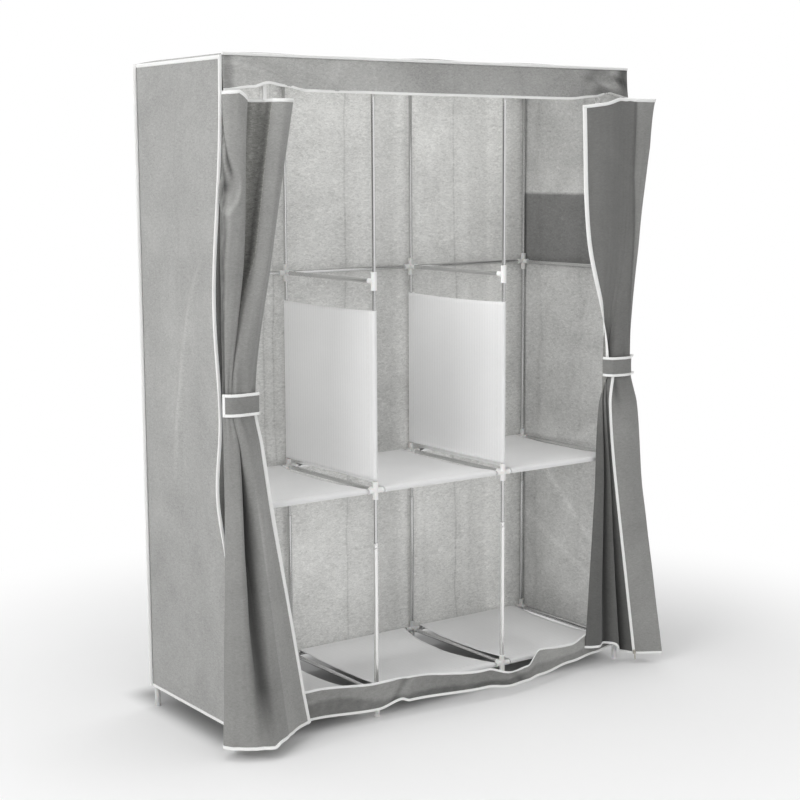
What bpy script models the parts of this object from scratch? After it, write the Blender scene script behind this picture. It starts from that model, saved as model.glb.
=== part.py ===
"""Portable wardrobe: a frame of steel tubes and plastic connectors in three bays, with
fabric shelves and dividers, inside a non-woven cover whose two curtains are tied back.

Run with: blender --background --python part.py
Lengths are in metres. +Z is up, the front faces -Y and the feet stand at zero height.
"""
import math

import bmesh
import bpy
from mathutils import Matrix, Vector

# Frame of tubes
bay_count = 3
bay_width = 0.430
frame_depth = 0.430
bottom_level = 0.067
level_rise = 0.548
tube_radius = 0.0055
post_radius = 0.0050
lower_post_radius = 0.00625
neck_drop = 0.160
neck_taper = 0.004
snap_drop = 0.010
snap_radius = 0.0018
snap_depth = 0.0012
round_sides = 10

# Plastic connectors and feet
connector_radius = 0.0075
connector_reach = 0.0235
arm_radius = 0.0070
depth_arm_radius = 0.0068
arm_length = 0.0220
socket_depth = 0.0140
foot_radius = 0.0085
foot_height = 0.0080
foot_taper = 0.0010

# Fits
clearance = 0.0003
overrun = 0.0020
weld_distance = 0.00005

# Fabric shelves and dividers
sleeve_wall = 0.0012
sheet_thickness = 0.0016
sleeve_gap = 0.0060
shelf_side_curve = 0.024
divider_lift = 0.0030
divider_height = 0.446
sleeve_steps = 9
sheet_stations = 8

# Cover
cloth = 0.0012
side_hem_height = 0.055
side_setback = 0.0014
valance_drop = 0.085
valance_arch = 0.020
valance_flare = 0.007
back_grid = (6, 4)
side_grid = (6, 17)
top_grid = (8, 4)
valance_grid = (28, 2)
pocket_columns = (1, 6)
pocket_rows = (11, 13)

# Skirt across the bottom of the front
skirt_inset = 0.0040
skirt_bulge = 0.075
skirt_hem_height = 0.030
skirt_height = 0.082
skirt_grid = (30, 3)

# Curtains tied back at the front corners
curtain_drop = 0.093
curtain_hem_height = 0.030
curtain_reach = 0.212
curtain_bulge = 0.124
tie_height = 0.885
flare_height = 0.500
hitch_height = 0.036
sewn_width = 0.055
curtain_columns = 18

# Straps that tie the curtains back
strap_height = 0.054
strap_thickness = 0.0014
strap_grid = (10, 1)

# Zip slider and its pull tab
slider_height = 0.036
slider_travel = 0.400
slider_width = 0.0080
slider_length = 0.0120
slider_thickness = 0.0040
slider_edge = 0.0010
slider_gap = 0.0008
cheek_thickness = 0.0012
cheek_rim = 0.0008
pin_radius = 0.0008
eye_wall = 0.0009
pull_width = 0.0042
pull_length = 0.0210
pull_thickness = 0.0012
eye_steps = 10

# Sizes that follow from the ones above
half_width = bay_count * bay_width / 2
front = -frame_depth / 2
rear = frame_depth / 2
middle_level = bottom_level + level_rise
upper_level = middle_level + level_rise
top_level = upper_level + level_rise
curtain_top = top_level - curtain_drop
columns = [bay_width * index - half_width for index in range(bay_count + 1)]
last = bay_count

side_plane = half_width + connector_radius + clearance + cloth / 2
back_plane = rear + connector_radius + clearance + cloth / 2
valance_plane = front - connector_radius - clearance - cloth / 2
top_plane = top_level + connector_radius + clearance + cloth / 2
cloth_top = top_plane - cloth / 2 - clearance
seam_x = side_plane
seam_y = valance_plane

# Left and right curtains, cut at five heights. Each cut is a line of points from the corner
# seam to the free edge: shares of the reach towards the middle and of the bulge forward.
left_cut_shares = {
    "top": [(0, 0), (-0.02, 0.07), (0.12, 0.24), (0.28, 0.17), (0.43, -0.03), (0.56, 0.15), (0.72, 0.25),
            (0.86, 0.22)],
    "chest": [(0, 0), (-0.127, 0.065), (0.02, 0.24), (0.15, 0.24), (0.26, 0.04), (0.34, 0.25),
              (0.45, 0.34), (0.54, 0.24)],
    "tie": [(0, 0), (-0.095, 0.08), (-0.06, 0.24), (0.06, 0.30), (0.13, 0.16), (0.19, 0.29), (0.26, 0.28),
            (0.30, 0.13)],
    "flare": [(0, 0), (-0.132, 0.16), (-0.10, 0.42), (0.03, 0.44), (0.13, 0.52), (0.25, 0.68),
              (0.40, 0.56), (0.514, 0.24)],
    "hem": [(0, 0), (-0.179, 0.08), (-0.15, 0.42), (0.03, 0.70), (0.19, 0.94), (0.33, 0.90), (0.55, 0.60),
            (0.99, 0.16)],
}
right_cut_shares = {
    "top": [(0, 0), (-0.236, 0.12), (-0.307, 0.44), (0.00, 0.42), (0.28, 0.35), (0.57, 0.44), (0.90, 0.24)],
    "chest": [(0, 0), (-0.057, 0.16), (-0.066, 0.40), (0.094, 0.39), (0.283, 0.32), (0.52, 0.40),
              (0.73, 0.24)],
    "tie": [(0, 0), (0.014, 0.18), (0.057, 0.34), (0.14, 0.37), (0.23, 0.37), (0.33, 0.32), (0.39, 0.15)],
    "flare": [(0, 0), (-0.165, 0.16), (-0.236, 0.52), (0.165, 0.44), (0.33, 0.28), (0.425, 0.10),
              (0.542, 0.16)],
    "hem": [(0, 0), (-0.236, 0.24), (-0.373, 0.89), (-0.04, 0.47), (0.23, 0.33), (0.45, 0.24),
            (0.72, 0.30)],
}
cut_names = ["top", "chest", "tie", "flare", "hem"]
chest_share = 0.50
curtain_row_shares = [0, 0.16, 0.33, 0.50, 0.64, 0.76, 0.86, 0.94, 1.0]
hitch_shares = [(0, 0), (0.62, 0), (0.74, 1), (1, 1)]
zip_share = 0.5
zip_side_share = 0.02

# How far the valance's hem arches up, from the left end to the right end
valance_arch_shares = [(0.0, 0.0), (0.06, 0.45), (0.095, 1.0), (0.13, 0.7), (0.18, 0.15), (0.5, 0.05),
                       (0.83, 0.0), (0.90, 0.35), (0.945, 0.9), (0.97, 0.55), (1.0, 0.2)]

# The skirt from its left to its right end: place, bulge, lift of its hem and of its top
skirt_shares = [(0.0, 0.0, 0.40, 0.10), (0.01, 0.0, 0.40, 0.10), (0.17, 0.12, 0.30, 0.10),
                (0.32, 0.42, 0.07, -0.04), (0.38, 0.50, 0.50, -0.05), (0.58, 0.87, 0.20, -0.27),
                (0.64, 1.0, -0.07, -0.51), (0.69, 0.88, -0.07, -0.48), (0.735, 0.70, 0.0, -0.06),
                (0.84, 0.38, 0.20, -0.24), (0.92, 0.20, 0.40, 0.0), (0.99, 0.0, 0.60, 0.10),
                (1.0, 0.0, 0.60, 0.10)]

# The strap round each curtain, seen from above, from its hinge at the inner edge to its end
left_strap_shares = [(0.333, 0.10), (0.325, 0.21), (0.283, 0.307), (0.212, 0.324), (0.132, 0.332),
                     (0.047, 0.328), (-0.028, 0.303), (-0.08, 0.263), (-0.104, 0.19)]
right_strap_shares = [(0.42, 0.12), (0.41, 0.24), (0.354, 0.35), (0.24, 0.40), (0.14, 0.40), (0.057, 0.371),
                      (0.01, 0.29), (-0.02, 0.19)]


# Scene

def clear_scene():
    """Removes every object that the file holds."""
    for old in list(bpy.data.objects):
        bpy.data.objects.remove(old, do_unlink=True)


def make_collection(name):
    """Returns a new collection linked to the scene."""
    made = bpy.data.collections.new(name)
    bpy.context.scene.collection.children.link(made)
    return made


def make_material(name, colour, roughness, metallic):
    """Returns a Principled material with one colour."""
    made = bpy.data.materials.new(name)
    made.use_nodes = True
    shader = made.node_tree.nodes["Principled BSDF"]
    shader.inputs["Base Color"].default_value = (*colour, 1.0)
    shader.inputs["Roughness"].default_value = roughness
    shader.inputs["Metallic"].default_value = metallic
    return made


clear_scene()
wardrobe = make_collection("portable_wardrobe")
cutters = make_collection("wardrobe_cutters")

steel = make_material("chromed_steel", (0.62, 0.63, 0.64), 0.22, 1.0)
shelf_fabric = make_material("off_white_fabric", (0.66, 0.66, 0.65), 0.85, 0.0)
cover_fabric = make_material("grey_cover_fabric", (0.27, 0.27, 0.26), 0.90, 0.0)
curtain_fabric = make_material("grey_curtain_fabric", (0.22, 0.22, 0.21), 0.90, 0.0)
strap_fabric = make_material("grey_strap_fabric", (0.24, 0.24, 0.23), 0.90, 0.0)
zip_metal = make_material("zip_metal", (0.60, 0.59, 0.56), 0.35, 1.0)

holder = bpy.data.objects.new("wardrobe_holder", None)
wardrobe.objects.link(holder)


# Helpers

def add_piece(name, data, material, location=(0, 0, 0), parent=None):
    """Adds a named piece to the wardrobe and hangs it on its parent."""
    piece = bpy.data.objects.new(name, data)
    data.materials.append(material)
    wardrobe.objects.link(piece)
    piece.parent = parent or holder
    piece.location = location
    return piece


def rods_mesh(name, rods):
    """Returns a mesh of separate closed rods, each given by its two ends and its radius.

    The rods' corners line up with the corners of the tubes and posts that share their line.
    """
    mesh = bpy.data.meshes.new(name)
    bm = bmesh.new()
    for start, end, radius in rods:
        start = Vector(start)
        along = Vector(end) - start
        turn = Vector((0, 0, 1)).rotation_difference(along).to_matrix().to_4x4()
        spin = Matrix.Rotation(0 if along.x else math.pi / 2, 4, "Z")
        place = Matrix.Translation(start + along / 2) @ turn @ spin
        bmesh.ops.create_cone(bm, cap_ends=True, segments=round_sides, radius1=radius,
                              radius2=radius, depth=along.length, matrix=place)
    bm.to_mesh(mesh)
    bm.free()
    return mesh


def add_boolean(piece, operation, mesh):
    """Joins or cuts the piece with a hidden helper that stands where the piece stands."""
    helper = bpy.data.objects.new(mesh.name, mesh)
    cutters.objects.link(helper)
    helper.parent = piece.parent
    helper.location = piece.location
    helper.rotation_euler = piece.rotation_euler
    helper.hide_render = True
    helper.display_type = "WIRE"
    modifier = piece.modifiers.new(mesh.name, "BOOLEAN")
    modifier.operation = operation
    modifier.solver = "EXACT"
    modifier.use_self = operation == "UNION"
    modifier.object = helper


def add_tube(name, start, end):
    """Adds a straight steel tube with closed ends between two points."""
    curve = bpy.data.curves.new(name, "CURVE")
    curve.dimensions = "3D"
    curve.bevel_depth = tube_radius
    curve.bevel_resolution = round_sides // 2 - 2
    curve.use_fill_caps = True
    spline = curve.splines.new("POLY")
    spline.points.add(1)
    for point, place in zip(spline.points, (start, end)):
        point.co = (*place, 1)
    add_piece(name, curve, steel)


def smooth_value(pairs, share):
    """Reads a smooth curve through (share, value) pairs at one share."""
    for (low, low_value), (high, high_value) in zip(pairs, pairs[1:]):
        if share <= high:
            break
    step = min(max((share - low) / (high - low), 0), 1)
    step = step * step * (3 - 2 * step)
    return low_value + (high_value - low_value) * step


def curve_point(points, share):
    """Returns a point on the smooth curve that runs evenly through a list of points."""
    spans = len(points) - 1
    index = min(int(share * spans), spans - 1)
    step = share * spans - index
    before = points[max(index - 1, 0)]
    start = points[index]
    end = points[index + 1]
    after = points[min(index + 2, spans)]
    return Vector([0.5 * (2 * b + (c - a) * step + (2 * a - 5 * b + 4 * c - d) * step ** 2
                          + (3 * b - a - 3 * c + d) * step ** 3)
                   for a, b, c, d in zip(before, start, end, after)])


def add_cloth(name, grid, place, material, thickness=cloth, location=(0, 0, 0), parent=None):
    """Adds a sheet of cloth: a unit grid whose points go where place(across, up) says."""
    mesh = bpy.data.meshes.new(name)
    bm = bmesh.new()
    bmesh.ops.create_grid(bm, x_segments=grid[0], y_segments=grid[1], size=0.5)
    for vert in bm.verts:
        vert.co = place(vert.co.x + 0.5, vert.co.y + 0.5)
    bm.to_mesh(mesh)
    bm.free()
    mesh.shade_smooth()
    sheet = add_piece(name, mesh, material, location, parent)
    solidify = sheet.modifiers.new("cloth_thickness", "SOLIDIFY")
    solidify.thickness = thickness
    solidify.offset = 0
    return sheet


# Posts

def arm_rods(level_sides, inward):
    """Returns the arms of a post's connectors and their sockets. The sides are those along X."""
    bore = tube_radius + clearance
    arms = []
    sockets = []
    for level, sides in level_sides.items():
        if sides:
            low = min(sides + [0]) * arm_length
            high = max(sides + [0]) * arm_length
            arms.append(((low, 0, level), (high, 0, level), arm_radius))
        for side in sides:
            sockets.append(((side * (arm_length - socket_depth), 0, level),
                            (side * (arm_length + overrun), 0, level), bore))
        arms.append(((0, 0, level), (0, inward * arm_length, level), depth_arm_radius))
        sockets.append(((0, inward * (arm_length - socket_depth), level),
                        (0, inward * (arm_length + overrun), level), bore))
    return arms, sockets


def post_profile(has_foot):
    """Returns the outline of a post from its top to its bottom, as radius and height."""
    neck = middle_level - neck_drop
    top_end = top_level - connector_reach + socket_depth - clearance
    outline = [(0, top_end), (post_radius, top_end)]
    for level in (upper_level, middle_level):
        outline += [(post_radius, level + connector_reach), (connector_radius, level + connector_reach),
                    (connector_radius, level - connector_reach), (post_radius, level - connector_reach)]
    outline += [(post_radius, neck), (lower_post_radius, neck - neck_taper)]
    if has_foot:
        outline += [(lower_post_radius, bottom_level + connector_reach),
                    (connector_radius, bottom_level + connector_reach),
                    (connector_radius, foot_height + foot_taper), (foot_radius, foot_height),
                    (foot_radius, foot_taper), (foot_radius - foot_taper, 0), (0, 0)]
    else:
        low_end = bottom_level + connector_reach - socket_depth + clearance
        outline += [(lower_post_radius, low_end), (0, low_end)]
    return outline


def x_sides(column):
    """Returns which sides of a column have a neighbour: -1 for left, 1 for right."""
    return [side for side in (-1, 1) if 0 <= column + side <= last]


def add_post(name, column, at_front):
    """Adds a post: its tubes, snap hole, connectors with sockets and, at the front, its foot."""
    mesh = bpy.data.meshes.new(name)
    outline = [(radius, 0, height) for radius, height in post_profile(at_front)]
    mesh.from_pydata(outline, [(index, index + 1) for index in range(len(outline) - 1)], [])
    post = add_piece(name, mesh, steel, (columns[column], front if at_front else rear, 0))
    screw = post.modifiers.new("turn", "SCREW")
    screw.steps = round_sides
    screw.render_steps = round_sides
    screw.use_merge_vertices = True
    screw.merge_threshold = weld_distance

    sides = x_sides(column)
    if at_front:
        level_sides = {bottom_level: sides, middle_level: sides, upper_level: []}
    else:
        level_sides = {middle_level: sides, upper_level: sides}
    inward = 1 if at_front else -1
    arms, sockets = arm_rods(level_sides, inward)
    add_boolean(post, "UNION", rods_mesh(name + "_arms", arms))
    snap_level = middle_level - neck_drop - neck_taper - snap_drop
    face = lower_post_radius * math.cos(math.pi / round_sides)
    sockets.append(((0, -inward * (face - snap_depth), snap_level),
                    (0, -inward * (face + overrun), snap_level), snap_radius))
    add_boolean(post, "DIFFERENCE", rods_mesh(name + "_sockets", sockets))


def add_rail(name, y, level, inward, has_feet):
    """Adds a rail: three tubes in line with the four connectors that they are pressed into."""
    rail_ends = ((columns[0], 0, 0), (columns[last], 0, 0), tube_radius)
    rail = add_piece(name, rods_mesh(name, [rail_ends]), steel, (0, y, level))
    connectors = []
    sockets = []
    tube_bore = tube_radius + clearance
    for column, x in enumerate(columns):
        sides = x_sides(column)
        connectors.append(((x + min(sides + [0]) * arm_length, 0, 0),
                           (x + max(sides + [0]) * arm_length, 0, 0), arm_radius))
        connectors.append(((x, 0, 0), (x, inward * arm_length, 0), depth_arm_radius))
        sockets.append(((x, inward * (arm_length - socket_depth), 0),
                        (x, inward * (arm_length + overrun), 0), tube_bore))
        if has_feet:
            connectors.append(((x, 0, foot_height / 2 - level), (x, 0, connector_reach), connector_radius))
            connectors.append(((x, 0, -level), (x, 0, foot_height - level), foot_radius))
            sockets.append(((x, 0, connector_reach - socket_depth), (x, 0, connector_reach + overrun),
                            lower_post_radius + clearance))
        else:
            connectors.append(((x, 0, -connector_reach), (x, 0, connector_radius), connector_radius))
            sockets.append(((x, 0, -connector_reach - overrun), (x, 0, socket_depth - connector_reach),
                            post_radius + clearance))
    add_boolean(rail, "UNION", rods_mesh(name + "_connectors", connectors))
    add_boolean(rail, "DIFFERENCE", rods_mesh(name + "_sockets", sockets))


for column in range(bay_count + 1):
    add_post(f"front_post_{column + 1}", column, True)
    add_post(f"rear_post_{column + 1}", column, False)
add_rail("rear_bottom_rail", rear, bottom_level, -1, True)
add_rail("front_top_rail", front, top_level, 1, False)
add_rail("rear_top_rail", rear, top_level, -1, False)


# Tubes between the posts, seated in the connectors' sockets

tube_seat = arm_length - socket_depth + clearance


def add_cross_tubes(name, y, level):
    """Adds one tube along X in each bay."""
    for bay in range(bay_count):
        add_tube(f"{name}_{bay + 1}", (columns[bay] + tube_seat, y, level),
                 (columns[bay + 1] - tube_seat, y, level))


def add_depth_tubes(name, level):
    """Adds one tube from front to rear at each column."""
    for column, x in enumerate(columns):
        add_tube(f"{name}_{column + 1}", (x, front + tube_seat, level),
                 (x, rear - tube_seat, level))


add_cross_tubes("front_bottom_tube", front, bottom_level)
add_cross_tubes("front_middle_tube", front, middle_level)
add_cross_tubes("rear_middle_tube", rear, middle_level)
add_cross_tubes("rear_upper_tube", rear, upper_level)
add_depth_tubes("bottom_depth_tube", bottom_level)
add_depth_tubes("middle_depth_tube", middle_level)
add_depth_tubes("upper_depth_tube", upper_level)
add_depth_tubes("top_depth_tube", top_level)


# Shelves and dividers: a sheet with an open sleeve along its front and its rear edge

def arc_points(centre, radius, start, end, steps):
    """Returns points along an arc, both ends included."""
    return [(centre + radius * math.cos(start + (end - start) * step / steps),
             radius * math.sin(start + (end - start) * step / steps)) for step in range(steps + 1)]


def sleeved_outline(rod_radius, span, bore_start):
    """Returns the section of a sheet with two sleeves, as its outline and the two bores."""
    inner = rod_radius + clearance
    outer = inner + sleeve_wall
    lean = math.asin((outer - sheet_thickness) / outer)
    first = arc_points(0, outer, lean, -3 * math.pi / 2, sleeve_steps)
    second = arc_points(span, outer, math.pi / 2, -math.pi - lean, sleeve_steps)
    top = [(span * step / sheet_stations, outer) for step in range(1, sheet_stations)]
    low = [(x, outer - sheet_thickness) for x, _ in reversed(top)]
    bore_end = bore_start + 2 * math.pi
    bores = [arc_points(centre, inner, bore_start, bore_end, round_sides)[:-1] for centre in (0, span)]
    return [first + top + second + low] + bores


def add_sleeved_sheet(name, rod_radius, length, side_curve, bore_start, turn, location):
    """Adds a sheet with two sleeves, extruded along the rods, its sides drawn in by a curve."""
    curve = bpy.data.curves.new(name, "CURVE")
    curve.dimensions = "2D"
    curve.fill_mode = "BOTH"
    curve.extrude = length / 2
    for outline in sleeved_outline(rod_radius, frame_depth, bore_start):
        spline = curve.splines.new("POLY")
        spline.points.add(len(outline) - 1)
        for point, (x, y) in zip(spline.points, outline):
            point.co = (x, y, 0, 1)
        spline.use_cyclic_u = True
    flat = bpy.data.objects.new(name + "_outline", curve)
    cutters.objects.link(flat)
    bpy.context.view_layer.update()
    mesh = bpy.data.meshes.new_from_object(flat.evaluated_get(bpy.context.evaluated_depsgraph_get()))
    bpy.data.objects.remove(flat, do_unlink=True)

    bm = bmesh.new()
    bm.from_mesh(mesh)
    bmesh.ops.remove_doubles(bm, verts=bm.verts, dist=weld_distance)
    sleeve = rod_radius + clearance + sleeve_wall
    for vert in bm.verts:
        along = (vert.co.x - sleeve) / (frame_depth - 2 * sleeve)
        vert.co.z *= 1 - side_curve / (length / 2) * max(0, 4 * along * (1 - along))
    bm.to_mesh(mesh)
    bm.free()
    mesh.name = name
    mesh.materials.clear()
    sheet = add_piece(name, mesh, shelf_fabric, location)
    sheet.rotation_euler = turn.to_euler()


shelf_turn = Matrix(((0, 0, 1), (1, 0, 0), (0, 1, 0)))
divider_turn = Matrix(((0, -1, 0), (1, 0, 0), (0, 0, 1)))
shelf_length = bay_width - 2 * (arm_length + sleeve_gap)
for bay in range(bay_count):
    bay_centre = (columns[bay] + columns[bay + 1]) / 2
    for shelf_name, level in (("middle_shelf", middle_level), ("bottom_shelf", bottom_level)):
        add_sleeved_sheet(f"{shelf_name}_{bay + 1}", tube_radius, shelf_length, shelf_side_curve, 0,
                          shelf_turn, (bay_centre, front, level))
divider_middle = middle_level + connector_reach + divider_lift + divider_height / 2
for column in range(1, last):
    add_sleeved_sheet(f"divider_{column}", post_radius, divider_height, 0, math.pi / 2,
                      divider_turn, (columns[column], front, divider_middle))


# Cover: back, sides, top, valance, skirt and pocket

side_rear_edge = back_plane - cloth / 2 - clearance
side_front_edge = seam_y + side_setback


def back_place(across, up):
    """Back panel, from the left to the right side and from hem to top."""
    edge = side_plane + cloth / 2
    height = side_hem_height + up * (cloth_top - side_hem_height)
    return Vector((edge * (2 * across - 1), back_plane, height))


def side_place(side):
    """Returns the shape of a side panel."""
    def place(across, up):
        y = side_front_edge + (side_rear_edge - side_front_edge) * across
        height = side_hem_height + up * (cloth_top - side_hem_height)
        return Vector((side * side_plane, y, height))
    return place


def top_place(across, up):
    """Top panel, out to the outer faces of the panels round it."""
    y_low = valance_plane - cloth / 2
    y_high = back_plane + cloth / 2
    return Vector(((side_plane + cloth / 2) * (2 * across - 1), y_low + (y_high - y_low) * up, top_plane))


def valance_hem(across):
    """Height of the valance's hem, which arches up where each curtain hangs."""
    return top_plane - valance_drop + valance_arch * smooth_value(valance_arch_shares, across)


def valance_place(across, up):
    """Valance, hanging from the front edge of the top and standing off at its hem."""
    low = valance_hem(across)
    y = valance_plane - valance_flare * (1 - up) ** 2
    return Vector(((side_plane + cloth / 2) * (2 * across - 1), y, low + up * (cloth_top - low)))


def skirt_place(across, up):
    """Skirt, slack enough to bulge forward."""
    bulge, hem_lift, top_lift = [smooth_value([(row[0], row[column]) for row in skirt_shares], across)
                                 for column in (1, 2, 3)]
    reach = side_plane - skirt_inset
    low = skirt_hem_height * (1 + hem_lift)
    high = skirt_hem_height + skirt_height * (1 + top_lift)
    lean = 1 - up * (1 - up) / 2
    y = valance_plane - skirt_bulge * bulge * lean
    return Vector((reach * (2 * across - 1), y, low + (high - low) * up))


def pocket_place(across, up):
    """Flat pocket on the outside of the right side panel, following the panel's own grid."""
    column = pocket_columns[0] + (pocket_columns[1] - pocket_columns[0]) * across
    row = pocket_rows[0] + (pocket_rows[1] - pocket_rows[0]) * up
    return side_place(1)(column / side_grid[0], row / side_grid[1]) + Vector((cloth + clearance, 0, 0))


add_cloth("back_panel", back_grid, back_place, cover_fabric)
add_cloth("left_side_panel", side_grid, side_place(-1), cover_fabric)
add_cloth("right_side_panel", side_grid, side_place(1), cover_fabric)
add_cloth("top_panel", top_grid, top_place, cover_fabric)
add_cloth("valance", valance_grid, valance_place, cover_fabric)
add_cloth("skirt", skirt_grid, skirt_place, cover_fabric)
pocket_grid = (pocket_columns[1] - pocket_columns[0], pocket_rows[1] - pocket_rows[0])
add_cloth("side_pocket", pocket_grid, pocket_place, cover_fabric)


# Curtains

rows_to_tie = len(curtain_row_shares) - 1


def height_curve(values, heights, height):
    """Reads a smooth curve through values at falling heights. Its last stretch is straight."""
    slopes = []
    for index in range(len(values)):
        low = max(index - 1, 0)
        high = min(index + 1, len(values) - 1)
        slopes.append((values[high] - values[low]) / (heights[high] - heights[low]))
    slopes[2] = 0
    slopes[-2] = slopes[-1]
    for index in range(len(values) - 1):
        if height >= heights[index + 1]:
            break
    span = heights[index + 1] - heights[index]
    step = (height - heights[index]) / span
    start = values[index] * (1 + 2 * step) + slopes[index] * span * step
    end = values[index + 1] * (3 - 2 * step) + slopes[index + 1] * span * (step - 1)
    return start * (1 - step) ** 2 + end * step ** 2


def curtain_place(side, cut_shares, hitch):
    """Returns the shape of a curtain, about its corner seam at floor level."""
    chest = tie_height + (curtain_top - tie_height) * chest_share
    heights = [curtain_top, chest, tie_height, flare_height, curtain_hem_height]

    def place(across, up):
        row = round((1 - up) * 2 * rows_to_tie)
        if row <= rows_to_tie:
            height = curtain_top + (tie_height - curtain_top) * curtain_row_shares[row]
        else:
            share = curtain_row_shares[2 * rows_to_tie - row]
            height = curtain_hem_height + (tie_height - curtain_hem_height) * share
        cuts = [curve_point(cut_shares[name], across) for name in cut_names]
        inward = height_curve([cut[0] for cut in cuts], heights, height) * curtain_reach
        forward = height_curve([cut[1] for cut in cuts], heights, height) * curtain_bulge
        if up == 1:
            sewn = max(0, 1 - max(inward, 0) / sewn_width)
            seam_share = min(max(inward / (2 * side_plane), 0), 1)
            hem = valance_hem(seam_share if side < 0 else 1 - seam_share) - clearance
            height += (hem - height) * min(1, 2 * sewn)
        if up == 0:
            height += hitch * smooth_value(hitch_shares, across)
        return Vector((-side * inward, -forward, height))
    return place


def add_curtain(name, side, cut_shares, hitch):
    """Adds a curtain that turns about its corner seam."""
    return add_cloth(name, (curtain_columns, 2 * rows_to_tie), curtain_place(side, cut_shares, hitch),
                     curtain_fabric, location=(side * seam_x, seam_y, 0))


left_curtain = add_curtain("left_curtain", -1, left_cut_shares, 0)
right_curtain = add_curtain("right_curtain", 1, right_cut_shares, hitch_height)


# Straps

def add_strap(name, side, strap_shares, curtain):
    """Adds the flap of a tie strap, which turns about its sewn inner end."""
    inner, forward = strap_shares[0]
    hinge = Vector((-side * inner * curtain_reach, -forward * curtain_bulge, tie_height))

    def place(across, up):
        share = curve_point(strap_shares, across)
        return Vector((-side * share[0] * curtain_reach, -share[1] * curtain_bulge,
                       tie_height + strap_height * (up - 0.5))) - hinge
    add_cloth(name, strap_grid, place, strap_fabric, strap_thickness, hinge, curtain)


add_strap("left_tie_strap", -1, left_strap_shares, left_curtain)
add_strap("right_tie_strap", 1, right_strap_shares, right_curtain)


# Zip slider and pull tab

def lower_curtain_point(across, height):
    """Returns a point on the straight lower stretch of the right curtain."""
    low = curve_point(right_cut_shares["hem"], across)
    high = curve_point(right_cut_shares["flare"], across)
    step = (height - curtain_hem_height) / (flare_height - curtain_hem_height)
    inward, forward = low + (high - low) * step
    return Vector((-inward * curtain_reach, -forward * curtain_bulge, height))


def zip_frame():
    """Returns where the slider sits on the right curtain, and the ways along the zip and out."""
    spot = lower_curtain_point(zip_share, slider_height)
    along = lower_curtain_point(zip_share, slider_height + slider_travel) - spot
    middle = slider_height + slider_travel / 2
    across = (lower_curtain_point(zip_share - zip_side_share, middle)
              - lower_curtain_point(zip_share + zip_side_share, middle))
    out = along.cross(across).normalized()
    if out.y > 0:
        out = -out
    return spot, along.normalized(), out


def add_slider():
    """Adds the zip slider, with two cheeks and the pin that carries its pull tab."""
    spot, along, out = zip_frame()
    inward = -out
    sideways = inward.cross(along)
    turn = Matrix((sideways, inward, along)).transposed()
    centre = spot + out * (cloth / 2 + slider_gap + slider_thickness / 2)

    bpy.ops.mesh.primitive_cube_add(size=1)
    slider = bpy.context.object
    slider.name = "zip_slider"
    slider.data.name = "zip_slider"
    slider.data.transform(Matrix.Diagonal((slider_width, slider_thickness, slider_length, 1)))
    for collection in list(slider.users_collection):
        collection.objects.unlink(slider)
    wardrobe.objects.link(slider)
    slider.data.materials.append(zip_metal)
    slider.parent = right_curtain
    slider.location = centre
    slider.rotation_euler = turn.to_euler()
    bevel = slider.modifiers.new("rounded_edges", "BEVEL")
    bevel.width = slider_edge
    bevel.segments = 1

    cheek_height = 2 * (pin_radius + cheek_rim)
    cheek_offset = pull_width / 2 + clearance + cheek_thickness / 2
    pin_out = -(slider_thickness / 2 + slider_gap + pin_radius + clearance + eye_wall)
    cheeks = bpy.data.meshes.new("slider_cheeks")
    bm = bmesh.new()
    for side in (-1, 1):
        low = pin_out - pin_radius - cheek_rim
        place = Matrix.Translation((side * cheek_offset, low / 2, 0))
        size = Matrix.Diagonal((cheek_thickness, -low, cheek_height, 1))
        bmesh.ops.create_cube(bm, size=1, matrix=place @ size)
    bm.to_mesh(cheeks)
    bm.free()
    add_boolean(slider, "UNION", cheeks)
    pin = rods_mesh("slider_pin", [((-cheek_offset, pin_out, 0), (cheek_offset, pin_out, 0), pin_radius)])
    add_boolean(slider, "UNION", pin)
    return slider, pin_out


def add_pull(slider, pin_out):
    """Adds the pull tab: an eye round the slider's pin with a flat tab hanging from it."""
    inner = pin_radius + clearance
    outer = inner + eye_wall
    lean = math.asin(pull_thickness / 2 / outer)
    ring = arc_points(0, outer, -math.pi / 2 + lean, 3 * math.pi / 2 - lean, eye_steps)
    tab = [(-pull_thickness / 2, -pull_length), (pull_thickness / 2, -pull_length)]
    bore = arc_points(0, inner, 0, 2 * math.pi, round_sides)[:-1]
    curve = bpy.data.curves.new("zip_pull", "CURVE")
    curve.dimensions = "2D"
    curve.fill_mode = "BOTH"
    curve.extrude = pull_width / 2
    for outline in (ring + tab, bore):
        spline = curve.splines.new("POLY")
        spline.points.add(len(outline) - 1)
        for point, (x, y) in zip(spline.points, outline):
            point.co = (x, y, 0, 1)
        spline.use_cyclic_u = True
    pull = add_piece("zip_pull", curve, zip_metal, (0, pin_out, 0), slider)
    pull.rotation_euler = shelf_turn.to_euler()


zip_slider, zip_pin_out = add_slider()
add_pull(zip_slider, zip_pin_out)


# The origin stands under the middle of the finished wardrobe.

def centre_holder():
    """Moves the holder so that the box round all the pieces is centred on the origin."""
    bpy.context.view_layer.update()
    graph = bpy.context.evaluated_depsgraph_get()
    points = []
    for piece in wardrobe.objects:
        if piece.type in ("MESH", "CURVE"):
            shape = piece.evaluated_get(graph).to_mesh()
            points += [piece.matrix_world @ vert.co for vert in shape.vertices]
    for axis in (0, 1):
        values = [point[axis] for point in points]
        holder.location[axis] = -(min(values) + max(values)) / 2


centre_holder()
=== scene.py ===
# %% [markdown]
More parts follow.
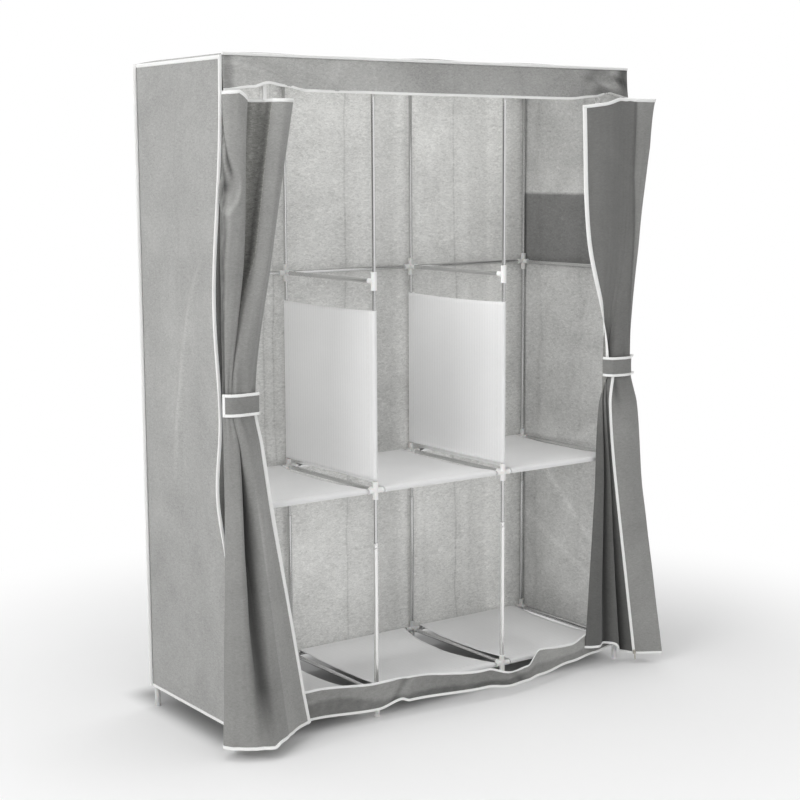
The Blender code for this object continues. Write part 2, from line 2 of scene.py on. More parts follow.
# # A portable wardrobe
# A wardrobe of this kind is a cage of thin steel tubes pushed into plastic connectors, with
# fabric shelves and dividers slid over the tubes, and a soft cover pulled over it all. The
# imported CAD part says where each tube and panel is. This file dresses it: every piece below,
# apart from the curtains and what is sewn to them, rides on a body of that part and stands
# where the part's own solid stands.

# %% Load the fixed frame
import math

import bmesh
import bpy
from mathutils import Matrix, Vector, noise


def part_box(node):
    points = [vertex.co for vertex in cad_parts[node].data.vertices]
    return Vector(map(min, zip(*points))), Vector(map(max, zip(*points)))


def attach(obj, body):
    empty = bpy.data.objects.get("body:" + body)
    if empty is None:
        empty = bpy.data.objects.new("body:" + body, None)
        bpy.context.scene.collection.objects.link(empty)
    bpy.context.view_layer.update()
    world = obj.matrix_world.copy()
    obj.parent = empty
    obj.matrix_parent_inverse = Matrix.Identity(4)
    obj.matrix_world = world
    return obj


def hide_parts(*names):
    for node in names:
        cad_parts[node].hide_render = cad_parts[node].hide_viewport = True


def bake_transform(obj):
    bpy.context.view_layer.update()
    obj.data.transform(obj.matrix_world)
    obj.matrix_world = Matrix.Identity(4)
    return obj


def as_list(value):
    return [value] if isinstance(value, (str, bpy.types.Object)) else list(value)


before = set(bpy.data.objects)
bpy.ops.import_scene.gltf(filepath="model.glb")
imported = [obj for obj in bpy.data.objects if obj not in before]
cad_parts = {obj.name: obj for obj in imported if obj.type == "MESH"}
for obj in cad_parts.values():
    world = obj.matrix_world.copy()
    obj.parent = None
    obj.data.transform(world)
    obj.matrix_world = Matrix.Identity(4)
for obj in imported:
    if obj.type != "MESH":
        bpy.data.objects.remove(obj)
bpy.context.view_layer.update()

# %% [markdown]
# ## Sizes
# The sizes repeat those of the CAD source, in metres. The frame's middle is read from the
# back panel's box, so that every piece lands on its solid even if the origin moves a little.

# %% Sizes of the frame
bay_width = 0.430
frame_depth = 0.430
bay_count = 3
bottom_level, middle_level, upper_level, top_level = 0.067, 0.615, 1.163, 1.711
tube_radius = 0.0055
post_radius = 0.0050
lower_post_radius = 0.00625
connector_radius = 0.0075
connector_reach = 0.0235
arm_radius = 0.0070
arm_length = 0.0220
socket_depth = 0.0140
clearance = 0.0003
cloth = 0.0012
half_width = bay_count * bay_width / 2
front = -frame_depth / 2
rear = frame_depth / 2
columns = [bay_width * index - half_width for index in range(bay_count + 1)]
side_plane = half_width + connector_radius + clearance + cloth / 2
back_plane = rear + connector_radius + clearance + cloth / 2
valance_plane = front - connector_radius - clearance - cloth / 2
top_plane = top_level + connector_radius + clearance + cloth / 2
cloth_top = top_plane - cloth / 2 - clearance

back_low, back_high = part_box("back_panel")
middle = Vector(((back_low.x + back_high.x) / 2, (back_low.y + back_high.y) / 2 - back_plane, 0))
print("the frame's middle is at", [round(value, 4) for value in middle])

# %% [markdown]
# ## Camera
# The photograph was taken from the left, a little above the middle, with a long lens. The
# camera's place, turn and lens were worked out from the posts, which are straight and equally
# far apart, so their ends give the view exactly.

# %% Camera
image_pixels = 800
focal_pixels = 1628.164
camera_place = Vector((-2.601, -3.655, 1.463))
yaw, pitch, roll = 0.6221, 0.1444, -0.0048
lens = bpy.data.cameras.new("camera")
lens.sensor_width = 36
lens.lens = focal_pixels / image_pixels * lens.sensor_width
camera = bpy.data.objects.new("camera", lens)
bpy.context.scene.collection.objects.link(camera)
ahead = Vector((math.sin(yaw) * math.cos(pitch), math.cos(yaw) * math.cos(pitch), -math.sin(pitch)))
right = Vector((math.cos(yaw), -math.sin(yaw), 0))
above = right.cross(ahead)
turned_right = math.cos(roll) * right + math.sin(roll) * above
turned_above = -math.sin(roll) * right + math.cos(roll) * above
camera.matrix_world = (Matrix.Translation(camera_place + middle)
                       @ Matrix((turned_right, turned_above, -ahead)).transposed().to_4x4())
bpy.context.scene.camera = camera
print("lens", round(lens.lens, 1), "mm")

# %% [markdown]
# ## Shader nodes
# The light, the floor and every finish are small networks of shader nodes. These helpers add a
# node and give each of its inputs a plain value or a link, so that a network reads as a list of
# what it does.

# %% Helpers for shader nodes
def add_node(tree, kind, inputs=None, **options):
    """Adds a shader node. An input gets a value, or a link where a socket is given."""
    node = tree.nodes.new("ShaderNode" + kind)
    for key, value in options.items():
        setattr(node, key, value)
    for key, value in (inputs or {}).items():
        if isinstance(value, bpy.types.NodeSocket):
            tree.links.new(value, node.inputs[key])
        else:
            node.inputs[key].default_value = value
    return node


def math_node(tree, operation, *values):
    """Adds a math node and returns its result."""
    return add_node(tree, "Math", dict(enumerate(values)), operation=operation).outputs[0]


def noise_node(tree, place, scale, detail=2.0, roughness=0.5, distortion=0.0, **options):
    """Adds a noise that reads a place, and returns its value between 0 and 1."""
    inputs = {"Vector": place, "Scale": scale, "Detail": detail, "Roughness": roughness,
              "Distortion": distortion}
    return add_node(tree, "TexNoise", inputs, **options).outputs["Fac"]


def soft_change(tree, value, near, far, first=0.0, last=1.0):
    """Goes smoothly from first to last while the value goes from near to far."""
    inputs = {"Value": value, "From Min": near, "From Max": far, "To Min": first, "To Max": last}
    return add_node(tree, "MapRange", inputs, interpolation_type="SMOOTHSTEP").outputs["Result"]


# %% [markdown]
# ## Light
# Big soft lamps and a pale world light the cloth evenly, as in a studio. The key lamp is on
# the left, so the left side is the lightest wall and the front is a little darker. The camera
# and the steel see a brighter world than the cloth does, and the steel's has a dark side, so
# that a tube shows one dark streak along its bright length.

# %% World
world_strength = 0.55
dark_strength = 0.12
dark_direction = (-0.98, 0.17, 0)
white = (1, 1, 1, 1)
scene = bpy.context.scene
scene.view_settings.view_transform = "Standard"
world = bpy.data.worlds.new("studio")
scene.world = world
world.use_nodes = True
sky = world.node_tree
sky.nodes.clear()
ray = add_node(sky, "LightPath")
seen = math_node(sky, "MAXIMUM", ray.outputs["Is Camera Ray"], ray.outputs["Is Glossy Ray"])
seen = math_node(sky, "MAXIMUM", seen, ray.outputs["Is Transmission Ray"])
toward = add_node(sky, "TexCoord").outputs["Generated"]
facing_dark = add_node(sky, "VectorMath", {0: toward, 1: dark_direction}, operation="DOT_PRODUCT")
studio = soft_change(sky, facing_dark.outputs["Value"], 0.32, 0.74, 1.0, dark_strength)
mirror = add_node(sky, "Mix", {"Factor": ray.outputs["Is Glossy Ray"], "A": 1.0, "B": studio},
                  data_type="FLOAT")
dim = add_node(sky, "Background", {"Color": white, "Strength": world_strength})
bright = add_node(sky, "Background", {"Color": white, "Strength": mirror.outputs["Result"]})
choose = add_node(sky, "MixShader", {0: seen, 1: dim.outputs[0], 2: bright.outputs[0]})
add_node(sky, "OutputWorld", {"Surface": choose.outputs[0]})
print("world nodes:", len(sky.nodes))


# %% Lamps
def soft_lamp(name, place, target, size, power):
    """Adds an area lamp that faces its target. size is its width and height."""
    data = bpy.data.lights.new(name, "AREA")
    data.shape = "RECTANGLE"
    data.size, data.size_y = size
    data.energy = power
    lamp = bpy.data.objects.new(name, data)
    scene.collection.objects.link(lamp)
    lamp.location = place
    lamp.visible_glossy = False
    lamp.rotation_euler = (Vector(target) - Vector(place)).to_track_quat("-Z", "Y").to_euler()
    return lamp


soft_lamp("key_left", (-4.6, -1.2, 3.0), (0, 0, 1.2), (3.0, 3.0), 105)
soft_lamp("fill_front", (-1.2, -5.0, 2.8), (0, 0, 1.1), (3.0, 3.0), 30)
soft_lamp("top_soft", (0, 0.2, 4.6), (0, 0, 0), (2.6, 2.6), 60)
# The cloth is thin, so daylight comes through it. Dim lamps inside each bay stand for that light.
for name, place, way, size, power in (
        ("glow_upper_left", (-0.640, 0.0, 1.15), (1, 0, 0), (0.40, 0.95), 0.98),
        ("glow_upper_middle", (-0.205, 0.0, 0.87), (1, 0, 0), (0.38, 0.40), 0.22),
        ("glow_upper_right", (0.235, 0.0, 0.87), (1, 0, 0), (0.38, 0.40), 0.36),
        ("glow_high_right", (0.0, -0.09, 1.40), (1, 0, 0), (0.20, 0.46), 0.36),
        ("glow_lower_left", (-0.420, -0.13, 0.32), (0, 1, 0.5), (0.32, 0.34), 0.34),
        ("glow_lower_middle", (0.0, -0.13, 0.32), (0, 1, 0.5), (0.34, 0.34), 0.50),
        ("glow_lower_right", (0.250, -0.09, 0.34), (1, 0, 0.5), (0.18, 0.36), 0.42),
        ("glow_top", (0.10, 0.0, 1.695), (0, 0, -1), (1.04, 0.38), 1.45)):
    spot = Vector(place) + middle
    glow = soft_lamp(name, spot, spot + Vector(way), size, power)
    glow.visible_camera = False

# %% [markdown]
# ## Floor
# A pale floor catches the shadow under the wardrobe. Far from the wardrobe it fades to plain
# white for the camera, so no horizon shows. Hardly any light reaches the floor right under the
# wardrobe, so a shadow is painted darker into its colour there.

# %% Floor
floor_size = 60
floor_tone = (0.92, 0.92, 0.92, 1)
painted_shadow_tone = (0.38, 0.38, 0.38, 1)
bpy.ops.object.select_all(action="DESELECT")
bpy.ops.mesh.primitive_plane_add(size=floor_size)
floor = bpy.context.object
floor.name = "floor"
floor_paint = bpy.data.materials.new("pale_floor")
floor_paint.use_nodes = True
tree = floor_paint.node_tree
plain = tree.nodes["Principled BSDF"]
plain.inputs["Roughness"].default_value = 0.9
here = add_node(tree, "TexCoord").outputs["Object"]
distance = add_node(tree, "VectorMath", {0: here}, operation="LENGTH").outputs["Value"]
camera_ray = add_node(tree, "LightPath").outputs["Is Camera Ray"]
fade = math_node(tree, "MULTIPLY", soft_change(tree, distance, 0.9, 2.0), camera_ray)
glow_white = add_node(tree, "Emission")
floor_mix = add_node(tree, "MixShader", {0: fade, 1: plain.outputs[0], 2: glow_white.outputs[0]})
tree.links.new(floor_mix.outputs[0], tree.nodes["Material Output"].inputs["Surface"])
axes = add_node(tree, "SeparateXYZ", {0: here})
# Painted shadow: inside this box under the wardrobe, the floor's colour goes to a darker tone.
under = []
for axis, centre, inner, outer in (("X", middle.x, 0.60, 0.70), ("Y", middle.y + 0.085, 0.215, 0.31)):
    away = math_node(tree, "ABSOLUTE", math_node(tree, "SUBTRACT", axes.outputs[axis], centre))
    under.append(soft_change(tree, away, inner, outer, 1.0, 0.0))
painted_shadow_share = math_node(tree, "MULTIPLY", *under)
floor_shade = add_node(tree, "Mix", {"Factor": painted_shadow_share, "A": floor_tone, "B": painted_shadow_tone}, data_type="RGBA")
tree.links.new(floor_shade.outputs["Result"], plain.inputs["Base Color"])
floor.data.materials.append(floor_paint)
print("floor:", floor_size, "m wide")

# %% [markdown]
# ## Shared surface effects
# Five effects turn up in several finishes, so each is a node group: the pressed dots of bonded
# cloth, its cloudy fibre density, soft creases, packing creases and pressed ribs. A group could
# be copied into each material instead, but then a change would have to be made in every one.

# %% Helper for node groups
NUMBER = "NodeSocketFloat"
VECTOR = "NodeSocketVector"


def effect_group(name, inputs, outputs):
    """Makes an empty group. inputs are (name, kind, value) rows, outputs the names of numbers."""
    group = bpy.data.node_groups.new(name, "ShaderNodeTree")
    for label, kind, value in inputs:
        socket = group.interface.new_socket(label, in_out="INPUT", socket_type=kind)
        if value is not None:
            socket.default_value = value
    for label in outputs:
        group.interface.new_socket(label, in_out="OUTPUT", socket_type=NUMBER)
    return group, group.nodes.new("NodeGroupInput"), group.nodes.new("NodeGroupOutput")


# %% [markdown]
# ### Bonded cloth
# Non-woven cloth is a felt of fine plastic threads, pressed between rollers that leave a grid
# of small dots. The dots come from two crossed sine waves on the cloth's own map, which is in
# metres, and the threads from fine noise.

# %% Bonded cloth group
bond_pitch = 0.0022
thread_scale = 900
dot_depth = 0.7
bonded, start, end = effect_group(
    "bonded_cloth", [("Map", VECTOR, None), ("Pitch", NUMBER, bond_pitch)], ["Height", "Dots"])
split = add_node(bonded, "SeparateXYZ", {0: start.outputs["Map"]})
turns = math_node(bonded, "DIVIDE", 2 * math.pi, start.outputs["Pitch"])
waves = []
for sign in (1, -1):
    across = math_node(bonded, "MULTIPLY", split.outputs["Y"], sign)
    diagonal = math_node(bonded, "ADD", split.outputs["X"], across)
    waves.append(math_node(bonded, "COSINE", math_node(bonded, "MULTIPLY", diagonal, turns)))
dots = math_node(bonded, "MAXIMUM", math_node(bonded, "MULTIPLY", *waves), 0)
dots = math_node(bonded, "POWER", dots, 2)
threads = noise_node(bonded, start.outputs["Map"], thread_scale, 3, 0.7)
bonded.links.new(math_node(bonded, "MULTIPLY_ADD", dots, -dot_depth, threads), end.inputs["Height"])
bonded.links.new(dots, end.inputs["Dots"])
print("dots every", round(bond_pitch * 1000, 1), "mm")

# %% [markdown]
# ### Cloudy density
# Held against the light, such cloth shows thick and thin patches a few millimetres wide, and
# slower clouds a hand wide. One group gives both as a mask round zero.

# %% Cloudy density group
cloudy, start, end = effect_group(
    "cloudy_density", [("Point", VECTOR, None), ("Fine", NUMBER, 130.0), ("Slow", NUMBER, 7.0)],
    ["Fine", "Slow"])
for label, detail, harsh, swirl, drawn in (("Fine", 4, 0.75, 1.1, (0.62, 0.62, 1.35)),
                                           ("Slow", 3, 0.55, 0.4, (1, 1, 1))):
    stretch = add_node(cloudy, "VectorMath", {0: start.outputs["Point"], 1: drawn}, operation="MULTIPLY")
    cloud = noise_node(cloudy, stretch.outputs[0], start.outputs[label], detail, harsh, swirl)
    cloudy.links.new(math_node(cloudy, "SUBTRACT", cloud, 0.5), end.inputs[label])

# %% [markdown]
# ### Soft creases
# Cloth that was folded in a box keeps faint lines. A wave along one way of the cloth's map,
# bent by noise and kept only at its crest, gives them as a height for a bump and as painted
# shade that darkens the tone at each crest.

# %% Soft crease group
crest_sharpness = 24
creased, start, end = effect_group(
    "soft_creases", [("Map", VECTOR, None), ("Spacing", NUMBER, 0.16), ("Bend", NUMBER, 0.02)], ["Height"])
wobble = noise_node(creased, start.outputs["Map"], 3.5)
split = add_node(creased, "SeparateXYZ", {0: start.outputs["Map"]})
shift = math_node(creased, "MULTIPLY", math_node(creased, "SUBTRACT", wobble, 0.5),
                  math_node(creased, "MULTIPLY", start.outputs["Bend"], 4))
line = math_node(creased, "DIVIDE", math_node(creased, "ADD", split.outputs["X"], shift),
                 start.outputs["Spacing"])
crest = math_node(creased, "COSINE", math_node(creased, "MULTIPLY", line, 2 * math.pi))
crest = math_node(creased, "POWER", math_node(creased, "MAXIMUM", crest, 0), crest_sharpness)
creased.links.new(math_node(creased, "MULTIPLY", crest, wobble), end.inputs["Height"])

# %% [markdown]
# ### Packing creases
# The back wall was folded to fit its box. The shade in each fold is painted as one thin dark
# line that wanders a little, in the middle of a wide faint one.

# %% Packing crease group
packing, start, end = effect_group(
    "packing_crease", [("Map", VECTOR, None), ("Place", NUMBER, 0.3)], ["Line"])
split = add_node(packing, "SeparateXYZ", {0: start.outputs["Map"]})
wander = noise_node(packing, start.outputs["Map"], 2.4, noise_dimensions="2D")
off = math_node(packing, "SUBTRACT", split.outputs["X"], start.outputs["Place"])
off = math_node(packing, "MULTIPLY_ADD", math_node(packing, "SUBTRACT", wander, 0.5), 0.035, off)
off = math_node(packing, "ABSOLUTE", off)
sharp, wide = [math_node(packing, "MAXIMUM", math_node(
    packing, "SUBTRACT", 1, math_node(packing, "DIVIDE", off, reach)), 0) for reach in (0.0042, 0.022)]
faded = math_node(packing, "MULTIPLY", noise_node(packing, start.outputs["Map"], 5.0), 0.30)
sharp = math_node(packing, "MULTIPLY", sharp, faded)
packing.links.new(math_node(packing, "MULTIPLY_ADD", wide, 0.05, sharp), end.inputs["Line"])

# %% [markdown]
# ### Pressed ribs
# The shelves' cloth has faint ribs where the rollers pressed it: one wave, made uneven by noise.

# %% Pressed rib group
rib_pitch = 0.0085
ribbed, start, end = effect_group("pressed_ribs", [("Map", VECTOR, None)], ["Ribs"])
split = add_node(ribbed, "SeparateXYZ", {0: start.outputs["Map"]})
uneven = noise_node(ribbed, start.outputs["Map"], 30)
wave = math_node(ribbed, "COSINE", math_node(ribbed, "MULTIPLY", split.outputs["Y"], 2 * math.pi / rib_pitch))
ribbed.links.new(math_node(ribbed, "MULTIPLY", wave, uneven), end.inputs["Ribs"])
print("node groups:", [group.name for group in bpy.data.node_groups])


# %% [markdown]
# ## Cloth finishes
# The cover is mid grey outside and paler and cloudier inside: its inner face is paler, and the
# light that comes through it is painted in as well. The curtains are the same cloth in a darker
# copy, which is painted shade, because they hang double. The right wall's inner face is a darker
# copy too, as painted shade. The shelves are off-white, and the bindings are a smooth white tape.
# All are one material recipe with other numbers, and each reads the painted shade and light of
# its sheet from its own points.

# %% Helpers for finishes
def new_paint(name, constants):
    """Starts a material with plain values on its shader's own sockets."""
    paint = bpy.data.materials.new(name)
    paint.use_nodes = True
    tree = paint.node_tree
    shader = tree.nodes["Principled BSDF"]
    for label, value in constants.items():
        shader.inputs[label].default_value = value
    return paint, tree, shader


def tint(tree, shader, tone, factor):
    """Colours a shader with one tone, lighter or darker by a factor that varies."""
    scaled = add_node(tree, "VectorMath", operation="SCALE")
    scaled.inputs[0].default_value = tone
    tree.links.new(factor, scaled.inputs["Scale"])
    tree.links.new(scaled.outputs[0], shader.inputs["Base Color"])


def bump(tree, height, strength, distance):
    """Adds a bump over a height and returns its node."""
    return add_node(tree, "Bump", {"Height": height, "Strength": strength, "Distance": distance})


# %% Cloth material
def cloth_finish(name, tone, cloudiness, slow, roughness=0.85, bond=0.25, crease=0.0, spacing=0.16,
                 fine_scale=190.0, lines=(), ribs=0.0):
    """Makes a bonded cloth of one tone. lines are the places of its packing creases, in metres."""
    paint, tree, shader = new_paint(name, {"Sheen Weight": 0.15, "Sheen Roughness": 0.6,
                                           "Specular IOR Level": 0.25})
    where = add_node(tree, "TexCoord")
    own_map = where.outputs["UV"]
    weave = add_node(tree, "Group", {"Map": own_map}, node_tree=bonded)
    clouds = add_node(tree, "Group", {"Point": where.outputs["Object"], "Fine": fine_scale}, node_tree=cloudy)
    folds = add_node(tree, "Group", {"Map": own_map, "Spacing": spacing}, node_tree=creased)
    change = math_node(tree, "MULTIPLY", clouds.outputs["Fine"], cloudiness)
    change = math_node(tree, "MULTIPLY_ADD", clouds.outputs["Slow"], slow, change)
    change = math_node(tree, "MULTIPLY_ADD", weave.outputs["Dots"], -0.04, change)
    # Painted shade: the soft creases darken the tone at their crests.
    change = math_node(tree, "MULTIPLY_ADD", folds.outputs["Height"], -crease, change)
    # Painted shade: each packing crease is a dark line subtracted from the tone.
    for place in lines:
        line = add_node(tree, "Group", {"Map": own_map, "Place": place}, node_tree=packing)
        change = math_node(tree, "SUBTRACT", change, line.outputs["Line"])
    if ribs:
        pressed = add_node(tree, "Group", {"Map": own_map}, node_tree=ribbed)
        change = math_node(tree, "MULTIPLY_ADD", pressed.outputs["Ribs"], ribs, change)
    # The sheet's painted shade and light, read from its points.
    painted = add_node(tree, "Attribute", attribute_name="dark")
    light = math_node(tree, "SUBTRACT", 1, painted.outputs["Fac"])
    tint(tree, shader, tone, math_node(tree, "MULTIPLY", math_node(tree, "ADD", change, 1), light))
    rough = math_node(tree, "MULTIPLY_ADD", weave.outputs["Dots"], -0.15, roughness)
    tree.links.new(rough, shader.inputs["Roughness"])
    fold_bump = bump(tree, folds.outputs["Height"], 0.6 if crease else 0.0, 0.004)
    grain = bump(tree, weave.outputs["Height"], bond, 0.0004)
    tree.links.new(fold_bump.outputs["Normal"], grain.inputs["Normal"])
    tree.links.new(grain.outputs["Normal"], shader.inputs["Normal"])
    return paint


cover_grey = (0.37, 0.37, 0.36)
cover_outside = cloth_finish("cover_outside", cover_grey, 1.25, 0.45, crease=0.03, spacing=0.23)
back_outside = cloth_finish("back_outside", cover_grey, 1.25, 0.55, lines=(0.325, 0.655, 0.985))
cover_inside = cloth_finish("cover_inside", (0.64, 0.64, 0.625), 1.25, 0.40, crease=0.06, spacing=0.31,
                            fine_scale=135.0)
# A darker copy of the inner cloth, as painted shade on the right wall's inner face.
shaded_right_inside = cloth_finish("shaded_right_inside", (0.50, 0.50, 0.49), 1.35, 0.60, crease=0.12, spacing=0.19,
                            fine_scale=135.0)
back_inside = cloth_finish("back_inside", (0.66, 0.66, 0.645), 1.30, 0.42, fine_scale=135.0,
                           lines=(0.100, 0.372, 0.405, 0.645, 1.05))
# Darker copies of the cover cloth, as painted shade on the curtains, the skirt and the straps.
shaded_curtain_outside = cloth_finish("shaded_curtain_outside", (0.215, 0.215, 0.208), 0.80, 0.42)
shaded_curtain_inside = cloth_finish("shaded_curtain_inside", (0.28, 0.28, 0.265), 2.0, 0.3, fine_scale=140.0)
shelf_cloth = cloth_finish("shelf_cloth", (0.80, 0.80, 0.80), 0.05, 0.06, roughness=0.8, bond=0.35,
                           fine_scale=130.0, ribs=0.04)
binding_tape = cloth_finish("binding_tape", (0.86, 0.86, 0.85), 0.04, 0.03, roughness=0.75, bond=0.15,
                            fine_scale=400.0)
print("the cover is", cover_outside.name, "and", cover_inside.name)

# %% [markdown]
# ## Steel and plastic finishes
# The tubes are thin steel with a bright coat, drawn lengthwise, so fine scratches cover them.
# The connectors are white moulded plastic with a faint orange-peel skin. The rear ones, which
# stand in the shade, get a darker copy of it as painted shade.


# %% Steel and plastic materials
def steel_finish(name, tone, roughness, metal=1.0):
    """Makes a drawn steel with dull smears and fine scratches. metal falls for a pale coat."""
    paint, tree, shader = new_paint(name, {"Metallic": metal})
    here = add_node(tree, "TexCoord").outputs["Object"]
    smear = noise_node(tree, here, 35)
    dull = math_node(tree, "MULTIPLY_ADD", smear, 0.10, roughness - 0.05)
    tree.links.new(dull, shader.inputs["Roughness"])
    tint(tree, shader, tone, math_node(tree, "MULTIPLY_ADD", smear, 0.1, 0.95))
    scratches = bump(tree, noise_node(tree, here, 1500), 0.02, 0.0001)
    tree.links.new(scratches.outputs["Normal"], shader.inputs["Normal"])
    return paint


def plastic_finish(name, tone, roughness):
    """Makes a moulded plastic with a faint uneven skin."""
    paint, tree, shader = new_paint(name, {"Specular IOR Level": 0.45, "Subsurface Weight": 0.1,
                                           "Subsurface Scale": 0.003})
    peel = noise_node(tree, add_node(tree, "TexCoord").outputs["Object"], 350, 3)
    tint(tree, shader, tone, math_node(tree, "MULTIPLY_ADD", peel, 0.06, 0.97))
    rough = math_node(tree, "MULTIPLY_ADD", peel, 0.15, roughness - 0.07)
    tree.links.new(rough, shader.inputs["Roughness"])
    skin = bump(tree, peel, 0.12, 0.0003)
    tree.links.new(skin.outputs["Normal"], shader.inputs["Normal"])
    return paint


bright_steel = steel_finish("bright_steel", (0.69, 0.69, 0.69), 0.24)
coated_steel = steel_finish("coated_steel", (0.93, 0.93, 0.92), 0.24, 0.72)
zip_alloy = steel_finish("zip_alloy", (0.52, 0.50, 0.45), 0.34)
white_plastic = plastic_finish("white_plastic", (0.85, 0.85, 0.84), 0.42)
# A darker copy of the white plastic, as painted shade on the rear connectors.
shaded_white_plastic = plastic_finish("shaded_white_plastic", (0.62, 0.62, 0.61), 0.38)
thread_finish = plastic_finish("sewing_thread", (0.74, 0.74, 0.73), 0.6)
print("materials:", len(bpy.data.materials))


# %% [markdown]
# ## Working by operators
# The rigid pieces are modelled as by hand. Each step selects faces in code and then calls the
# same operator that the mouse would call. These helpers keep those steps short.

# %% Helpers for modelling
def fresh():
    """Deselects everything, so that an operator acts on the new piece only."""
    bpy.ops.object.select_all(action="DESELECT")


def choose_piece(piece):
    """Selects one piece only and makes it the active one."""
    fresh()
    piece.select_set(True)
    bpy.context.view_layer.objects.active = piece


def pick_faces(piece, wanted):
    """Selects in edit mode the faces that the test wants."""
    bpy.ops.mesh.select_mode(type="FACE")
    bpy.ops.mesh.select_all(action="DESELECT")
    cage = bmesh.from_edit_mesh(piece.data)
    for face in cage.faces:
        face.select_set(wanted(face))
    bmesh.update_edit_mesh(piece.data)


def edit(piece):
    """Goes into edit mode on one piece."""
    choose_piece(piece)
    bpy.ops.object.mode_set(mode="EDIT")


def leave_edit():
    """Goes back to object mode."""
    bpy.ops.object.mode_set(mode="OBJECT")


def face_outwards(piece):
    """Turns all of a closed piece's faces outwards."""
    edit(piece)
    bpy.ops.mesh.select_all(action="SELECT")
    bpy.ops.mesh.normals_make_consistent(inside=False)
    leave_edit()


def apply_modifier(piece, kind, **settings):
    """Adds a modifier with its settings and applies it."""
    choose_piece(piece)
    modifier = piece.modifiers.new(kind.lower(), kind)
    for key, value in settings.items():
        setattr(modifier, key, value)
    bpy.ops.object.modifier_apply(modifier=modifier.name)


def round_rims(piece, width):
    """Rounds a piece's sharp rims with two small facets."""
    apply_modifier(piece, "BEVEL", width=width, segments=2, limit_method="ANGLE",
                   angle_limit=math.radians(40))


def join(pieces, name):
    """Joins pieces into the first one."""
    fresh()
    for piece in pieces:
        piece.select_set(True)
    bpy.context.view_layer.objects.active = pieces[0]
    if len(pieces) > 1:
        bpy.ops.object.join()
    pieces[0].name = name
    pieces[0].data.name = name
    return pieces[0]


def copy_of(piece, place):
    """Copies a piece with its own mesh and moves the copy's mesh."""
    twin = piece.copy()
    twin.data = piece.data.copy()
    scene.collection.objects.link(twin)
    twin.data.transform(place)
    return twin


def settle(piece, base=Matrix.Identity(4)):
    """Puts a piece's place into its mesh, after one more move."""
    bpy.context.view_layer.update()
    piece.data.transform(base @ piece.matrix_world)
    piece.matrix_world = Matrix.Identity(4)


def smooth_by_angle(piece, degrees=35):
    """Shades a piece smooth apart from its sharp edges."""
    choose_piece(piece)
    bpy.ops.object.shade_smooth_by_angle(angle=math.radians(degrees))


def dress(piece, paint, body, nodes):
    """Finishes a rigid piece: its material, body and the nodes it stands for."""
    settle(piece, Matrix.Translation(middle))
    piece.data.materials.clear()
    piece.data.materials.append(paint)
    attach(piece, body)
    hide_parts(*nodes)


# %% [markdown]
# ## Steel tubes
# Each tube is cut steel pipe with a thin wall. It starts as a cylinder, its two end faces are
# inset by the wall and pushed in, and the rims are rounded. One tube is made for each length
# and then copied to its places.

# %% One steel tube
tube_sides = 24
tube_wall = 0.0006
mouth_depth = 0.004
rim_round = 0.0002


def steel_tube(length, radius):
    """Makes a tube along Z about the origin, with open rounded mouths."""
    fresh()
    bpy.ops.mesh.primitive_cylinder_add(vertices=tube_sides, radius=radius, depth=length)
    tube = bpy.context.object
    edit(tube)
    pick_faces(tube, lambda face: abs(face.normal.z) > 0.9)
    bpy.ops.mesh.inset(thickness=tube_wall)
    bpy.ops.mesh.extrude_region_shrink_fatten(TRANSFORM_OT_shrink_fatten={"value": -mouth_depth})
    leave_edit()
    round_rims(tube, rim_round)
    return tube


tube_seat = arm_length - socket_depth + clearance
cross_length = bay_width - 2 * tube_seat
depth_length = frame_depth - 2 * tube_seat
cross_pattern = steel_tube(cross_length, tube_radius)
cross_pattern.data.transform(Matrix.Rotation(math.pi / 2, 4, "Y"))
depth_pattern = steel_tube(depth_length, tube_radius)
depth_pattern.data.transform(Matrix.Rotation(math.pi / 2, 4, "X"))
print("a cross tube has", len(cross_pattern.data.polygons), "faces")

# %% Tubes at their places
BODY = "frame_and_cover"
tubes = []


def place_tube(pattern, name, place, *nodes):
    """Copies a tube pattern to its place, as a piece."""
    tube = copy_of(pattern, Matrix.Translation(place))
    tube.name = name
    smooth_by_angle(tube)
    dress(tube, bright_steel, BODY, nodes)
    tubes.append(tube)


for bay in range(bay_count):
    centre = (columns[bay] + columns[bay + 1]) / 2
    for label, y, level in (("front_bottom_tube", front, bottom_level),
                            ("front_middle_tube", front, middle_level),
                            ("rear_middle_tube", rear, middle_level), ("rear_upper_tube", rear, upper_level)):
        node = f"{label}_{bay + 1}"
        place_tube(cross_pattern, node + "_steel", (centre, y, level), node)
    for label, y, level in (("rear_bottom_rail", rear, bottom_level), ("front_top_rail", front, top_level),
                            ("rear_top_rail", rear, top_level)):
        place_tube(cross_pattern, f"{label}_tube_{bay + 1}", (centre, y, level), label)
for column, x in enumerate(columns):
    for label, level in (("bottom_depth_tube", bottom_level), ("middle_depth_tube", middle_level),
                         ("upper_depth_tube", upper_level), ("top_depth_tube", top_level)):
        node = f"{label}_{column + 1}"
        place_tube(depth_pattern, node + "_steel", (x, 0, level), node)
for pattern in (cross_pattern, depth_pattern):
    bpy.data.objects.remove(pattern, do_unlink=True)
print("tubes placed:", len(tubes))

# %% [markdown]
# ## Posts
# A post is two lengths of tube. The lower one is a little thicker, and the upper one slides
# into its mouth, where a spring button locks it: a small dome sunk in a drilled round hole.

# %% Posts
neck = middle_level - 0.140
snap_level = neck - 0.014
post_overlap = 0.030
hole_radius = 0.0024
hole_rings = 0.006
button_radius = 0.0013
button_turn = math.radians(35)
post_low = bottom_level + connector_reach - socket_depth + clearance
post_high = top_level - connector_reach + socket_depth - clearance


def snap_button(facing):
    """Makes the domed head of the spring button, sunk in its hole."""
    fresh()
    bpy.ops.mesh.primitive_uv_sphere_add(
        segments=16, ring_count=8, radius=button_radius,
        location=facing * (lower_post_radius - 2 * button_radius) + Vector((0, 0, snap_level)))
    return bpy.context.object


